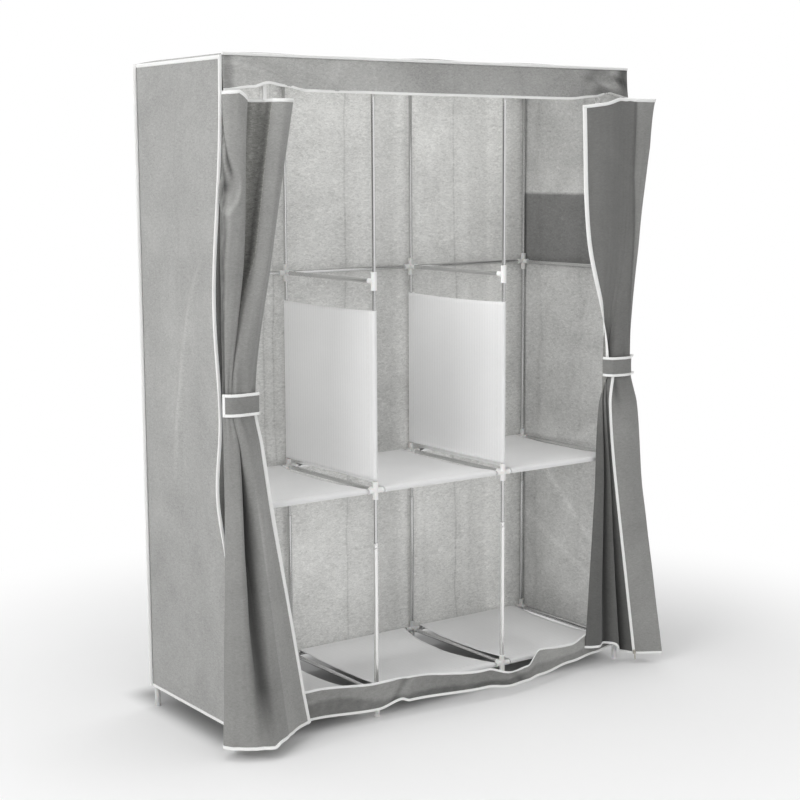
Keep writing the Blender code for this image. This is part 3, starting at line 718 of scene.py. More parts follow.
def make_post(name, column, y):
    """Makes one post's tubes at its column. Its button faces outwards and a little left."""
    facing = Vector((-math.sin(button_turn), math.copysign(math.cos(button_turn), y), 0))
    lower = steel_tube(neck - post_low, lower_post_radius)
    lower.location = (0, 0, (neck + post_low) / 2)
    bpy.context.view_layer.update()
    edit(lower)
    for level in (snap_level - hole_rings, snap_level + hole_rings):
        bpy.ops.mesh.select_all(action="SELECT")
        bpy.ops.mesh.bisect(plane_co=(0, 0, level), plane_no=(0, 0, 1))
    leave_edit()
    fresh()
    bpy.ops.mesh.primitive_cylinder_add(vertices=16, radius=hole_radius, depth=0.008,
                                        rotation=facing.to_track_quat("Z", "Y").to_euler(),
                                        location=facing * lower_post_radius + Vector((0, 0, snap_level)))
    drill = bpy.context.object
    apply_modifier(lower, "BOOLEAN", operation="DIFFERENCE", solver="EXACT", object=drill)
    bpy.data.objects.remove(drill, do_unlink=True)
    upper_start = neck - post_overlap
    upper = steel_tube(post_high - upper_start, post_radius)
    upper.location = (0, 0, (post_high + upper_start) / 2)
    parts = [lower, upper, snap_button(facing)]
    for part in parts:
        settle(part)
    post = join(parts, name + "_steel")
    post.data.transform(Matrix.Translation((columns[column], y, 0)))
    smooth_by_angle(post)
    dress(post, bright_steel, BODY, [name])
    post.data.materials.append(coated_steel)
    for face in post.data.polygons:
        if y < 0 and face.center.z - middle.z < neck:
            face.material_index = 1


for column in range(bay_count + 1):
    make_post(f"front_post_{column + 1}", column, front)
    make_post(f"rear_post_{column + 1}", column, rear)
print("posts:", 2 * (bay_count + 1))

# %% [markdown]
# ## Connectors
# A connector is one moulding: an upright sleeve with round arms, each with a thicker lip at
# its mouth. It is built from bevelled cylinders that Boolean union fuses into one skin, which
# is how the real mould is cut. There are few kinds, and each is copied to its places.

# %% One connector
connector_sides = 28
lip_grow = 0.0007
lip_length = 0.0028
lip_proud = 0.0002
foot_height = 0.008
foot_grow = 0.001


def round_bar(start, stop, radius):
    """Makes a bevelled round bar between two points."""
    start = Vector(start)
    along = Vector(stop) - start
    fresh()
    bpy.ops.mesh.primitive_cylinder_add(vertices=connector_sides, radius=radius, depth=along.length)
    bar = bpy.context.object
    round_rims(bar, 0.0003)
    turn = Vector((0, 0, 1)).rotation_difference(along).to_matrix().to_4x4()
    bar.data.transform(Matrix.Translation(start + along / 2) @ turn)
    return bar


def lipped_arm(way, radius, length):
    """Makes the two bars of an arm: its pipe and the lip at its mouth."""
    way = Vector(way)
    return [round_bar(way * 0.001, way * length, radius),
            round_bar(way * (length - lip_length), way * (length + lip_proud), radius + lip_grow)]


def fuse(bars, name):
    """Fuses bars into one closed skin."""
    body = bars[0]
    for bar in bars[1:]:
        apply_modifier(body, "BOOLEAN", operation="UNION", solver="EXACT", object=bar)
        bpy.data.objects.remove(bar, do_unlink=True)
    body.name = name
    return body


def connector_kind(sides, inward, low, high, foot):
    """Makes one kind of connector about its crossing point."""
    bars = [round_bar((0, 0, low), (0, 0, high), connector_radius)]
    lip_radius = connector_radius + lip_grow
    if high > connector_radius:
        bars.append(round_bar((0, 0, high - lip_length), (0, 0, high + lip_proud), lip_radius))
    if foot:
        bars.append(round_bar((0, 0, low), (0, 0, low + foot_height), connector_radius + foot_grow))
    else:
        bars.append(round_bar((0, 0, low - lip_proud), (0, 0, low + lip_length), lip_radius))
    for side in sides:
        bars += lipped_arm((side, 0, 0), arm_radius, arm_length)
    bars += lipped_arm((0, inward, 0), arm_radius - lip_proud, arm_length)
    return fuse(bars, "connector")


# %% Connectors at their places
def arms_of(column):
    """Says which sides of a column have a neighbour."""
    return tuple(side for side in (-1, 1) if 0 <= column + side <= bay_count)


kinds = {}


def connector_at(column, y, level, low, high, foot=False, sides=None):
    """Copies the connector that fits a crossing to its place."""
    inward = 1 if y < 0 else -1
    sides = arms_of(column) if sides is None else sides
    key = (sides, inward, round(low, 4), round(high, 4), foot)
    if key not in kinds:
        kinds[key] = connector_kind(sides, inward, low, high, foot)
    return copy_of(kinds[key], Matrix.Translation((columns[column], y, level)))


reach = connector_reach
for column in range(bay_count + 1):
    for row, y in (("front", front), ("rear", rear)):
        node = f"{row}_post_{column + 1}"
        on_post = [connector_at(column, y, middle_level, -reach, reach),
                   connector_at(column, y, upper_level, -reach, reach, sides=() if y < 0 else None)]
        low_one = connector_at(column, y, bottom_level, -bottom_level, reach, foot=True)
        top_one = connector_at(column, y, top_level, -reach, connector_radius)
        mouldings = [(on_post, node + "_connectors", node),
                     ([top_one], f"{row}_top_connector_{column + 1}", f"{row}_top_rail")]
        if row == "front":
            on_post.append(low_one)
        else:
            mouldings.insert(1, ([low_one], f"rear_bottom_connector_{column + 1}", "rear_bottom_rail"))
        for bodies, name, stands_for in mouldings:
            moulding = join(bodies, name)
            smooth_by_angle(moulding)
            # The rear connectors get the darker copy of the white plastic, as painted shade.
            dress(moulding, white_plastic if row == "front" else shaded_white_plastic, BODY, [stands_for])
for pattern in kinds.values():
    bpy.data.objects.remove(pattern, do_unlink=True)
print("kinds of connector:", len(kinds))


# %% [markdown]
# ## Sheets of cloth
# A sheet is a grid whose points go where a shape function says, with a map in metres along
# the cloth. Solidify then gives it its thickness and puts a second finish on its inner face.

# %% Helpers for curves
def held(value):
    """Holds a value between 0 and 1."""
    return min(max(value, 0), 1)


def eased(share):
    """Makes an even change from 0 to 1 start and end softly."""
    return share * share * (3 - 2 * share)


def hump(distance, width):
    """A bell that is 1 at no distance and fades over a width."""
    return math.exp(-(distance / width) ** 2)


def noise_at(x, y, z, scale, seed):
    """Smooth noise round zero, the same on every run."""
    return noise.noise(Vector((x * scale + seed, y * scale - seed, z * scale + 0.37 * seed)))


def smooth_value(pairs, share):
    """Reads a smooth curve through (share, value) pairs at one share."""
    for (low, low_value), (high, high_value) in zip(pairs, pairs[1:]):
        if share <= high:
            break
    return low_value + (high_value - low_value) * eased(held((share - low) / (high - low)))


def curve_point(points, share):
    """Returns a point on the smooth curve that runs evenly through a list of points."""
    spans = len(points) - 1
    index = min(int(share * spans), spans - 1)
    step = share * spans - index
    before = points[max(index - 1, 0)]
    start = points[index]
    end = points[index + 1]
    after = points[min(index + 2, spans)]
    return Vector([0.5 * (2 * b + (c - a) * step + (2 * a - 5 * b + 4 * c - d) * step ** 2
                          + (3 * b - a - 3 * c + d) * step ** 3)
                   for a, b, c, d in zip(before, start, end, after)])


def squared(way, along):
    """Turns a way so that it stands square to another one, with length one."""
    return (way - along * way.dot(along)).normalized()


# %% Helpers for sheets
def new_piece(name, points, faces, *paints):
    """Makes a piece from points and faces, with its materials."""
    mesh = bpy.data.meshes.new(name)
    mesh.from_pydata(points, [], faces)
    for paint in paints:
        mesh.materials.append(paint)
    piece = bpy.data.objects.new(name, mesh)
    scene.collection.objects.link(piece)
    return piece


def grid_size(place, grid):
    """Measures a sheet along five rows and five columns, as its flat width and length."""
    widths = []
    lengths = []
    for share in (0.1, 0.3, 0.5, 0.7, 0.9):
        row = [place(i / grid[0], share) for i in range(grid[0] + 1)]
        column = [place(share, j / grid[1]) for j in range(grid[1] + 1)]
        widths.append(sum((b - a).length for a, b in zip(row, row[1:])))
        lengths.append(sum((b - a).length for a, b in zip(column, column[1:])))
    return sum(widths) / len(widths), sum(lengths) / len(lengths)


def cloth_sheet(name, grid, place, outer, inner, flip=False, thickness=cloth):
    """Makes a sheet from place(across, up), and returns it with its flat width and height."""
    size = grid_size(place, grid)
    across_count, up_count = grid
    points = [middle + place(i / across_count, j / up_count)
              for j in range(up_count + 1) for i in range(across_count + 1)]
    faces = []
    stride = across_count + 1
    for j in range(up_count):
        for i in range(across_count):
            corner = j * stride + i
            face = (corner, corner + 1, corner + stride + 1, corner + stride)
            faces.append(face[::-1] if flip else face)
    sheet = new_piece(name, points, faces, outer, inner)
    layer = sheet.data.uv_layers.new(name="cloth")
    for loop in sheet.data.loops:
        j, i = divmod(loop.vertex_index, stride)
        layer.data[loop.index].uv = (i / across_count * size[0], j / up_count * size[1])
    sheet.data.shade_smooth()
    apply_modifier(sheet, "SOLIDIFY", thickness=thickness, offset=0, material_offset=1)
    return sheet, size


def darken(sheet, grid, shape, outer_tone, inner_tone=None):
    """Paints shade on each point of a sheet's two faces: how much darker, below 0 for painted light."""
    stride = grid[0] + 1
    layer = sheet.data.attributes.new("dark", "FLOAT", "POINT")
    values = []
    for tone_at in (outer_tone, inner_tone or outer_tone):
        for index in range(stride * (grid[1] + 1)):
            j, i = divmod(index, stride)
            across, up = i / grid[0], j / grid[1]
            values.append(tone_at(across, up, shape(across, up)))
    layer.data.foreach_set("value", values)


def plain_tone(across, up, point):
    """Leaves a face at its finish's own tone."""
    return 0.0


def hang(sheet, body, nodes, size, extras=()):
    """Finishes a sheet: its body, nodes and the facts of its cloth."""
    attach(sheet, body)
    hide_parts(*nodes)
    for extra in extras:
        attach(extra, body)
    list(extras)
    print(sheet.name, "flat", [round(value, 3) for value in size], "m")


# %% [markdown]
# ## Bindings
# Every edge of the cover is bound: a white tape is folded over it and sewn. It could be a curve
# with a bevel, but that twists where an edge bends. So a binding is a flat rounded tube, swept
# along the edge and turned with the cloth at every step, and it wraps the edge on both sides.

# %% Helper for bindings
tape_thickness = 0.0007
tape_lip = 0.0011
tape_round = 0.0006
wide_tape = 0.0095
hem_tape = 0.0075
seam_tape = 0.0085
narrow_tape = 0.0060


def sweep_tape(name, stations, width, half=cloth / 2 + tape_thickness):
    """Sweeps a folded tape. A station is an edge point, the way into the cloth and its normal."""
    lip = tape_lip
    upper = [(-lip * 0.6, half * 0.75), (lip, half), (width * 0.5, half * 1.08), (width - tape_round, half),
             (width, half * 0.5)]
    section = [(-lip, 0)] + upper + [(a, -b) for a, b in reversed(upper)]
    count = len(section)
    points = []
    lengths = [0.0]
    for index, (edge, into, out) in enumerate(stations):
        if index:
            lengths.append(lengths[-1] + (Vector(edge) - Vector(stations[index - 1][0])).length)
        pucker = 1 + 0.05 * math.sin(lengths[-1] * 900) + 0.06 * noise_at(*edge, 60, 3.1)
        for a, b in section:
            points.append(middle + Vector(edge) + Vector(into) * a + Vector(out) * b * pucker)
    faces = []
    rings = len(stations)
    for ring in range(rings - 1):
        for index in range(count):
            following = (index + 1) % count
            faces.append((ring * count + index, ring * count + following,
                          (ring + 1) * count + following, (ring + 1) * count + index))
    faces.append(tuple(range(count))[::-1])
    faces.append(tuple(range((rings - 1) * count, rings * count)))
    tape = new_piece(name, points, faces, binding_tape)
    layer = tape.data.uv_layers.new(name="cloth")
    for loop in tape.data.loops:
        ring, index = divmod(loop.vertex_index, count)
        layer.data[loop.index].uv = (lengths[ring], index / count * width * 2)
    face_outwards(tape)
    smooth_by_angle(tape, 60)
    return tape


def edge_stations(place, edge, count, start=0.0, stop=1.0):
    """Reads stations along one edge of a sheet: top, bottom, near (across 0) or far (across 1)."""
    step = 0.002
    found = []
    for index in range(count + 1):
        share = start + (stop - start) * index / count
        before, after = max(share - step, 0), min(share + step, 1)
        if edge in ("top", "bottom"):
            up = 1 if edge == "top" else 0
            inner = up + (-0.01 if up else 0.01)
            point, inside = place(share, up), place(share, inner)
            along = place(after, up) - place(before, up)
        else:
            across = 1 if edge == "far" else 0
            inner = across + (-0.02 if across else 0.02)
            point, inside = place(across, share), place(inner, share)
            along = place(across, after) - place(across, before)
        along.normalize()
        into = squared(inside - point, along)
        found.append((point, into, along.cross(into)))
    return found


# %% [markdown]
# ## Shapes of the cover
# The cover is a loose box of cloth, held out by the frame. Its walls wave a little between the
# posts, keep the creases of the box they came in, and pull tight at the corners. A cloth
# simulation could drape it, but shapes written as functions are the same on every run, and
# each fold goes where the photograph shows it.

# %% Shape of the back panel
side_hem_height = 0.055
# Each crease of the back panel is its place, depth and width, in metres.
back_creases = [(-0.556, 0.0022, 0.011), (-0.286, 0.0025, 0.012), (-0.254, 0.0020, 0.009),
                (-0.011, 0.0026, 0.011), (0.27, 0.0025, 0.010), (0.44, 0.0020, 0.012)]


def edge_fade(across, up, width=0.08):
    """Goes from 0 at a panel's edges to 1 inside it."""
    return eased(held(min(across, 1 - across, up, 1 - up) / width))


def back_shape(across, up):
    """Back panel, blown out a little between the rear tubes and creased by packing."""
    x = (side_plane + cloth / 2) * (2 * across - 1)
    height = side_hem_height + up * (cloth_top - side_hem_height)
    ripple = 0.007 * noise_at(x, 0, height * 0.35, 5, 1.7) + 0.0035 * noise_at(x, 0, height * 0.7, 11, 4.2)
    ripple += 0.0016 * noise_at(x + 0.3 * height, 0, height * 0.5, 24, 7.7)
    crease = 0
    for place, deep, wide in back_creases:
        bent = place + 0.010 * noise_at(height, 0, 0, 1.6, place * 10)
        crease += deep * hump(x - bent, wide)
    return Vector((x, back_plane + edge_fade(across, up) * (0.008 + ripple - crease), height))


# %% [markdown]
# The curtains hang from the front corners. Their weight bows the front edge of each side panel
# out, above and below the strap, and pulls one long crease across the wall.

# %% Shape of the side panels
side_front_edge = valance_plane + 0.0014
side_rear_edge = back_plane - cloth / 2 - clearance
# Each bow of a front corner is its height, its reach up and down, and how far out it goes.
corner_bows = [(1.12, 0.30, 0.030), (0.66, 0.15, 0.028)]


def corner_bow(height):
    """How far the curtain's weight bows the front corner out."""
    return sum(out * hump(height - level, reach_up) for level, reach_up, out in corner_bows)


def pull_line(across, height, wide):
    """Share of the long crease that the curtain's weight pulls across a side panel."""
    line = 0.13 + 0.52 * (1 - math.exp((height - 1.25) / 0.28))
    return hump(across - line, wide) * math.exp(-((height - 0.95) / 0.27) ** 4)


def side_shape(side):
    """Returns the shape of a side panel. The curtain's weight bows its front edge outwards."""
    def place(across, up):
        puff = 0.006 * (1 - (2 * across - 1) ** 2) * (1 - (2 * up - 1) ** 2)
        y = side_front_edge + (side_rear_edge - side_front_edge) * across
        height = side_hem_height + up * (cloth_top - side_hem_height)
        ripple = 0.0065 * noise_at(0, y, height * 0.3, 6, side * 2.9 + 5)
        ripple += 0.0030 * noise_at(0, y + 0.25 * height, height * 0.6, 14, side * 1.9 + 8)
        ripple += 0.0010 * noise_at(0, y, height * 0.5, 30, side * 3.7 + 2)
        bow = (1.0 if side < 0 else 0.5) * corner_bow(height) * hump(across, 0.26)
        pull = 0.009 * pull_line(across, height, 0.030)
        out = side_plane + puff + bow + edge_fade(across, up) * (ripple + pull + 0.0040)
        return Vector((side * out, y, height))
    return place


# %% [markdown]
# The top panel puffs up between the rails it lies on. The valance hangs from its front edge and
# stands off a little at its hem, which arches up over each curtain.

# %% Shapes of the top panel and the valance
valance_drop = 0.085
valance_arch = 0.020
valance_flare = 0.007
valance_arch_shares = [(0.0, 0.0), (0.06, 0.45), (0.095, 1.0), (0.13, 0.7), (0.18, 0.15), (0.5, 0.05),
                       (0.83, 0.0), (0.90, 0.35), (0.945, 0.9), (0.97, 0.55), (1.0, 0.2)]
valance_folds = [(-0.62, 0.17, 0.012, 0.015), (-0.52, 0.22, 0.008, 0.022), (-0.28, -0.10, 0.004, 0.03),
                 (0.02, 0.08, 0.004, 0.035), (0.47, 0.12, 0.013, 0.015), (0.56, 0.07, 0.012, 0.012),
                 (0.61, 0.03, 0.009, 0.010)]


def top_shape(across, up):
    """Top panel, puffed up between the tubes it lies on."""
    x = (side_plane + cloth / 2) * (2 * across - 1)
    y_low = valance_plane - cloth / 2
    y_high = back_plane + cloth / 2
    puff = 0.010 * (1 - (2 * across - 1) ** 26) * (1 - (2 * up - 1) ** 14)
    ripple = 0.004 * noise_at(x, up * 0.4, 0, 6, 9.1)
    return Vector((x, y_low + (y_high - y_low) * up, top_plane + puff + edge_fade(across, up) * ripple))


def valance_hem(across):
    """Height of the valance's hem, which arches up where each curtain hangs."""
    return top_plane - valance_drop + valance_arch * smooth_value(valance_arch_shares, across)


def valance_shape(across, up):
    """Valance, hanging from the front edge of the top and standing off at its hem."""
    low = valance_hem(across)
    x = (side_plane + cloth / 2) * (2 * across - 1)
    flare = valance_flare * (1 - up) ** 2
    fade = edge_fade(across, 0.5, 0.04) * (1 - up)
    ripple = 0.004 * noise_at(x, 0, up * 0.3, 7, 2.3) * fade
    fold = 0
    for start, lean, deep, wide in valance_folds:
        line = start + lean * (1 - up)
        fold += deep * hump(x - line, wide) * (up * (1 - up) * 4) ** 0.7
    stand = valance_plane - flare - ripple - fold * edge_fade(across, 0.5, 0.02)
    return Vector((x, stand, low + up * (cloth_top - low)))


# %% [markdown]
# The skirt has more cloth than the front is wide, so its slack bulges forward. The pocket
# follows the wall that it is sewn to, a little outside it.

# %% Shapes of the skirt and the pocket
skirt_inset = 0.0040
skirt_bulge = 0.075
skirt_hem_height = 0.030
skirt_height = 0.082
# Each row is a place from left to right, the bulge there, and how far the hem and the top lift.
skirt_shares = [(0.0, 0.0, 0.40, 0.10), (0.01, 0.0, 0.40, 0.10), (0.17, 0.12, 0.30, 0.10),
                (0.32, 0.42, 0.10, -0.04), (0.372, 0.50, 0.62, -0.02), (0.392, 0.53, 0.36, -0.04),
                (0.58, 0.87, 0.20, -0.27), (0.64, 1.0, -0.07, -0.51), (0.69, 0.88, -0.07, -0.48),
                (0.735, 0.70, 0.0, -0.06), (0.84, 0.38, 0.20, -0.24), (0.92, 0.20, 0.40, 0.0),
                (0.99, 0.0, 0.60, 0.10), (1.0, 0.0, 0.60, 0.10)]


def skirt_shape(across, up):
    """Skirt, slack enough to bulge forward."""
    bulge, hem_lift, top_lift = [smooth_value([(row[0], row[column]) for row in skirt_shares], across)
                                 for column in (1, 2, 3)]
    low = skirt_hem_height * (1 + hem_lift)
    high = skirt_hem_height + skirt_height * (1 + top_lift)
    lean = 1 - up * (1 - up) / 2
    x = (side_plane - skirt_inset) * (2 * across - 1)
    ripple = 0.010 * noise_at(x, 0, up * 0.2, 8, 6.6) + 0.005 * noise_at(x, 0, up * 0.5, 19, 2.6)
    ripple *= edge_fade(across, 0.5, 0.05)
    return Vector((x, valance_plane - skirt_bulge * bulge * lean - ripple * up * (1.4 - up),
                   low + (high - low) * up))


pocket_low, pocket_high = 11 / 17, 13 / 17
pocket_start = 1 / 6


def pocket_shape(across, up):
    """Flat pocket outside the right wall, which follows the wall."""
    wall_up = pocket_low + (pocket_high - pocket_low) * up
    wall = side_shape(1)(pocket_start + (1 - pocket_start) * across, wall_up)
    bag = 0.004 * edge_fade(across, up, 0.25)
    return wall + Vector((cloth + clearance + bag, 0, 0))


# %% [markdown]
# ## Stitches
# The tapes are held by a row of stitches. They could be a dotted line in the tape's finish, but
# each stitch is a short thread that stands a little proud and catches the light, so it is
# modelled as a small six-sided bead.

# %% Helpers for stitches
stitch_pitch = 0.0045
stitch_share = 0.76
thread_radius = 0.00035
thread_sides = 6
stitch_inset = 0.0016


def stitch_row(name, stations, inset, height, both=True, pitch=stitch_pitch, thread=thread_radius):
    """Lays stitches at one distance from an edge, on one or both sides of it."""
    points = []
    faces = []
    travelled = 0.0
    due = pitch / 2
    for (edge, into, out), (after, _, _) in zip(stations, stations[1:]):
        step = after - edge
        length = step.length
        while due < travelled + length:
            centre = edge + step * ((due - travelled) / length) + into * inset
            way = step.normalized()
            for side in ((1, -1) if both else (1,)):
                start = len(points)
                lift = out * side * height
                for along in (-stitch_share / 2 * pitch, stitch_share / 2 * pitch):
                    for turn in range(thread_sides):
                        angle = 2 * math.pi * turn / thread_sides
                        points.append(middle + centre + lift + way * along + into * thread * math.cos(angle)
                                      + out * thread * math.sin(angle))
                near_ring = [start + turn for turn in range(thread_sides)]
                far_ring = [corner + thread_sides for corner in near_ring]
                for turn in range(thread_sides):
                    last = turn - 1
                    faces.append((near_ring[last], near_ring[turn], far_ring[turn], far_ring[last]))
                faces += [tuple(reversed(near_ring)), tuple(far_ring)]
            due += pitch
        travelled += length
    row = new_piece(name, points, faces, thread_finish)
    face_outwards(row)
    return row


def bind_edge(name, place, edge, count, width, start=0.0, stop=1.0):
    """Binds one edge of a sheet with tape and its stitches, as one piece."""
    stations = edge_stations(place, edge, count, start, stop)
    tape = sweep_tape(name, stations, width)
    row = stitch_row(name + "_stitches", stations, width - stitch_inset, cloth / 2 + tape_thickness * 1.05)
    return join([tape, row], name)


def seam_fin(name, points, way, width, flop=0.25):
    """Stands a bound seam allowance out from a seam. It flops a little from side to side."""
    way = Vector(way).normalized()
    stations = []
    for index, point in enumerate(points):
        along = points[min(index + 1, len(points) - 1)] - points[max(index - 1, 0)]
        along.normalize()
        across = along.cross(way).normalized()
        lean = flop * noise_at(*point, 7, 1.3)
        out = squared((way + across * lean).normalized(), along)
        stations.append((point + out * width, -out, along.cross(-out).normalized()))
    half = cloth + tape_thickness
    tape = sweep_tape(name, stations, width, half)
    row = stitch_row(name + "_stitches", stations, width - stitch_inset, half * 1.05)
    return join([tape, row], name)


# %% [markdown]
# ## Back panel
# The back panel is one wide sheet. Its inner face is seen through the open front, so it gets
# the packing creases and darker and lighter bands, all painted shade and light. They could be one
# painted picture, but bands along the sheet stay sharp at any size.

# %% Back panel
# Painted shade and light across the back panel's inner face: a place across it and how much darker.
back_shade_bands = [(0.0, 0.05), (0.25, 0.03), (0.39, 0.02), (0.45, 0.03), (0.54, 0.05), (0.575, 0.15),
              (0.62, 0.15), (0.645, 0.02), (0.88, 0.0), (0.90, -0.15), (0.94, -0.15), (0.96, 0.06),
              (1.0, 0.12)]


def back_tone(across, up, point):
    """Painted shade and light on the back panel's inner face: bands, darker low, a lighter corner."""
    lower_right = held((0.45 - up) / 0.05) * held((across - 0.64) / 0.02)
    return smooth_value(back_shade_bands, across) + 0.05 * (1 - up) - 0.10 * lower_right


grid = (150, 170)
back, size = cloth_sheet("back_panel_cloth", grid, back_shape, back_outside, back_inside, flip=True)
darken(back, grid, back_shape, plain_tone, back_tone)
hem = bind_edge("back_panel_hem", back_shape, "bottom", 120, hem_tape)
hang(back, BODY, ["back_panel"], size, [hem])

# %% [markdown]
# ## Side panels
# The two side panels are one shape, mirrored. Their rear and top edges end in bound seams that
# stand out as fins. The left one's front seam shows from the top to the hem, and the right one's
# inner face gets a painted shadow where the pocket hangs outside it.

# %% Side panels
seam_steps = 170
# Painted shade on the left wall's outer face, by height.
left_wall_shade = [(0.0, 0.11), (0.25, 0.08), (0.5, -0.02), (0.8, 0.02), (1.0, 0.06)]
# Each painted highlight along a crease of the right wall's inner face is its level, its slope and its
# strength.
wall_crease_highlights = [(0.42, 0.9, 0.15), (0.62, -0.7, 0.13), (0.27, 0.5, 0.12)]
pocket_front = side_front_edge + (side_rear_edge - side_front_edge) * pocket_start
pocket_floor, pocket_mouth = [side_hem_height + share * (cloth_top - side_hem_height)
                              for share in (pocket_low, pocket_high)]


def left_wall_tone(across, up, point):
    """Painted shade low and high on the left wall, and a painted highlight on the curtain's crease."""
    return smooth_value(left_wall_shade, up) - 0.17 * pull_line(across, point.z, 0.018)


def right_wall_tone(across, up, point):
    """Painted shade on the right wall's inner face: the pocket's shadow, and painted crease highlights."""
    inside = min(point.y - pocket_front, point.z - pocket_floor - 0.024, pocket_mouth + 0.045 - point.z)
    tone = 0.13 * held((point.z - 1.38) / 0.08) + 0.66 * held(inside / 0.006)
    for level, slope, strength in wall_crease_highlights:
        tone -= strength * hump(point.z - level - slope * point.y, 0.012)
    return tone


grid = (52, 170)
for side, label, inner, tones in ((-1, "left", cover_inside, (left_wall_tone, plain_tone)),
                                  (1, "right", shaded_right_inside, (plain_tone, right_wall_tone))):
    shape = side_shape(side)
    wall, size = cloth_sheet(f"{label}_side_cloth", grid, shape, cover_outside, inner, flip=side < 0)
    rear_seam = [shape(1, step / seam_steps) + Vector((side, 1, 0)) * cloth / 2
                 for step in range(seam_steps + 1)]
    edges = [bind_edge(f"{label}_side_hem", shape, "bottom", 50, hem_tape),
             bind_edge(f"{label}_side_top_binding", shape, "top", 50, seam_tape),
             seam_fin(f"{label}_side_rear_seam", rear_seam, (side, 0.15, 0), seam_tape)]
    if side < 0:
        front_seam = [shape(0, step / seam_steps) for step in range(seam_steps + 1)]
        edges.append(seam_fin("left_side_front_seam", front_seam, (-1, -0.1, 0), seam_tape, 0.12))
    else:
        edges.append(bind_edge("right_side_front_binding", shape, "near", seam_steps, wide_tape))
    darken(wall, grid, shape, *tones)
    hang(wall, BODY, [f"{label}_side_panel"], size,
         edges)

# %% [markdown]
# ## Top panel and valance
# The top panel lies on the upper rails. The valance is a strip sewn to its front edge, which
# arches up where each curtain hangs. Its corners are pulled into folds.

# %% Top panel and valance
top, size = cloth_sheet("top_cloth", (150, 52), top_shape, cover_outside, cover_inside)
hang(top, BODY, ["top_panel"], size)
# Painted shade and light along the valance: a place across it and how much darker it is painted.
valance_tones = [(0.0, 0.30), (0.012, 0.25), (0.03, -0.22), (0.25, -0.18), (0.45, 0.0), (0.80, 0.08),
                 (0.90, 0.20), (0.96, 0.30), (1.0, 0.42)]


def valance_tone(across, up, point):
    """Painted light and shade on the valance's folded corners, and random painted shade on its right end."""
    x = point.x
    left = 1 - held((x + 0.55) / 0.06)
    above = up - (0.95 - 3.6 * (x + 0.667))
    left_fold = 0.13 * held(above / 0.12) - 0.05 - 0.16 * hump(above, 0.10)
    thin_line = hump(x + 0.50 - 0.03 * (1 - up), 0.006) * (1 - up)
    light_patch = hump(x - 0.572, 0.020) * hump(up - 0.32, 0.26)
    wedge = held((x - 0.588 - 0.045 * (1 - up)) / 0.006) * held((0.75 - up) / 0.2)
    upper_right = held((x - 0.487) / 0.005) * held((up - 0.45) / 0.2)
    crumple_shade = noise_at(x, up * 0.12, 0, 26, 3.9) * held((x - 0.45) / 0.1)
    return (smooth_value(valance_tones, across) + left * left_fold + 0.08 * thin_line - 0.22 * light_patch
            + 0.20 * wedge + 0.09 * upper_right + 0.5 * crumple_shade)


grid = (180, 12)
valance, size = cloth_sheet("valance_cloth", grid, valance_shape, cover_outside, cover_inside)
darken(valance, grid, valance_shape, valance_tone)
front_seam = [valance_shape(step / 160, 1) + Vector((0, 0, 0.0005)) for step in range(161)]
edges = [bind_edge("valance_hem", valance_shape, "bottom", 240, narrow_tape),
         seam_fin("valance_top_seam", front_seam, (0, -0.4, 0.9), 0.0065, 0.35)]
hang(valance, BODY, ["valance"], size, edges)

# %% [markdown]
# ## Skirt and pocket
# The skirt joins the two side panels across the bottom of the front. It is longer than the
# frame is wide, so it bulges forward and its lower half turns down. The pocket is a flat patch
# on the outside of the right wall.

# %% Skirt and pocket
# Painted light and shade along the skirt: below 0 it is painted lighter than its cloth.
skirt_tones = [(0.0, -0.32), (0.30, -0.32), (0.40, -0.14), (0.62, -0.06), (0.74, -0.58), (1.0, -0.58)]


def skirt_tone(across, up, point):
    """Painted light and shade on the skirt: darker on the lower half that turns away from the light."""
    turn = 0.48 + 0.05 * math.sin(11 * across) + 0.2 * noise_at(point.x, 0, 0, 6, 1.1)
    lower = held((turn - up) / 0.13)
    fold = 0.34 * hump(point.x + 0.195 - 0.05 * up, 0.009) - 0.16 * hump(point.x + 0.172 - 0.05 * up, 0.010)
    fold += 0.30 * hump(point.x - 0.235 + 0.05 * up, 0.014)
    crumple_shade = 0.10 * noise_at(point.x, 0, up * 0.1, 14, 4.4) + 0.14 * noise_at(point.x, 0, up * 0.1, 60, 2.2)
    return smooth_value(skirt_tones, across) + 0.50 * lower + fold + crumple_shade


grid = (180, 14)
skirt, size = cloth_sheet("skirt_cloth", grid, skirt_shape, shaded_curtain_outside, shaded_curtain_inside)
darken(skirt, grid, skirt_shape, skirt_tone)
edges = [bind_edge("skirt_top_binding", skirt_shape, "top", 240, narrow_tape),
         bind_edge("skirt_hem", skirt_shape, "bottom", 240, narrow_tape)]
hang(skirt, BODY, ["skirt"], size, edges)

pocket, size = cloth_sheet("pocket_cloth", (44, 22), pocket_shape, cover_outside, cover_inside)
edges = [bind_edge("pocket_top_binding", pocket_shape, "top", 44, hem_tape),
         bind_edge("pocket_bottom_binding", pocket_shape, "bottom", 44, 0.004)]
hang(pocket, BODY, ["side_pocket"], size, edges)

# %% [markdown]
# ## Shelves and dividers
# A shelf is one sheet of off-white cloth. Its front and rear edges go round a tube and come
# back underneath, where they are sewn down as a sleeve. A divider is the same sheet turned
# upright, with its sleeves round two posts. The sleeves could be pieces of their own, but one
# section line that runs round both tubes keeps the cloth whole, as it is sewn.

# %% Section of a sleeved sheet
shelf_thickness = 0.0012
sleeve_gap = 0.006
shelf_length = bay_width - 2 * (arm_length + sleeve_gap)
tuck = 0.024
sleeve_steps = 12
flat_steps = 40
sheet_steps = 2 * sleeve_steps + flat_steps + 2


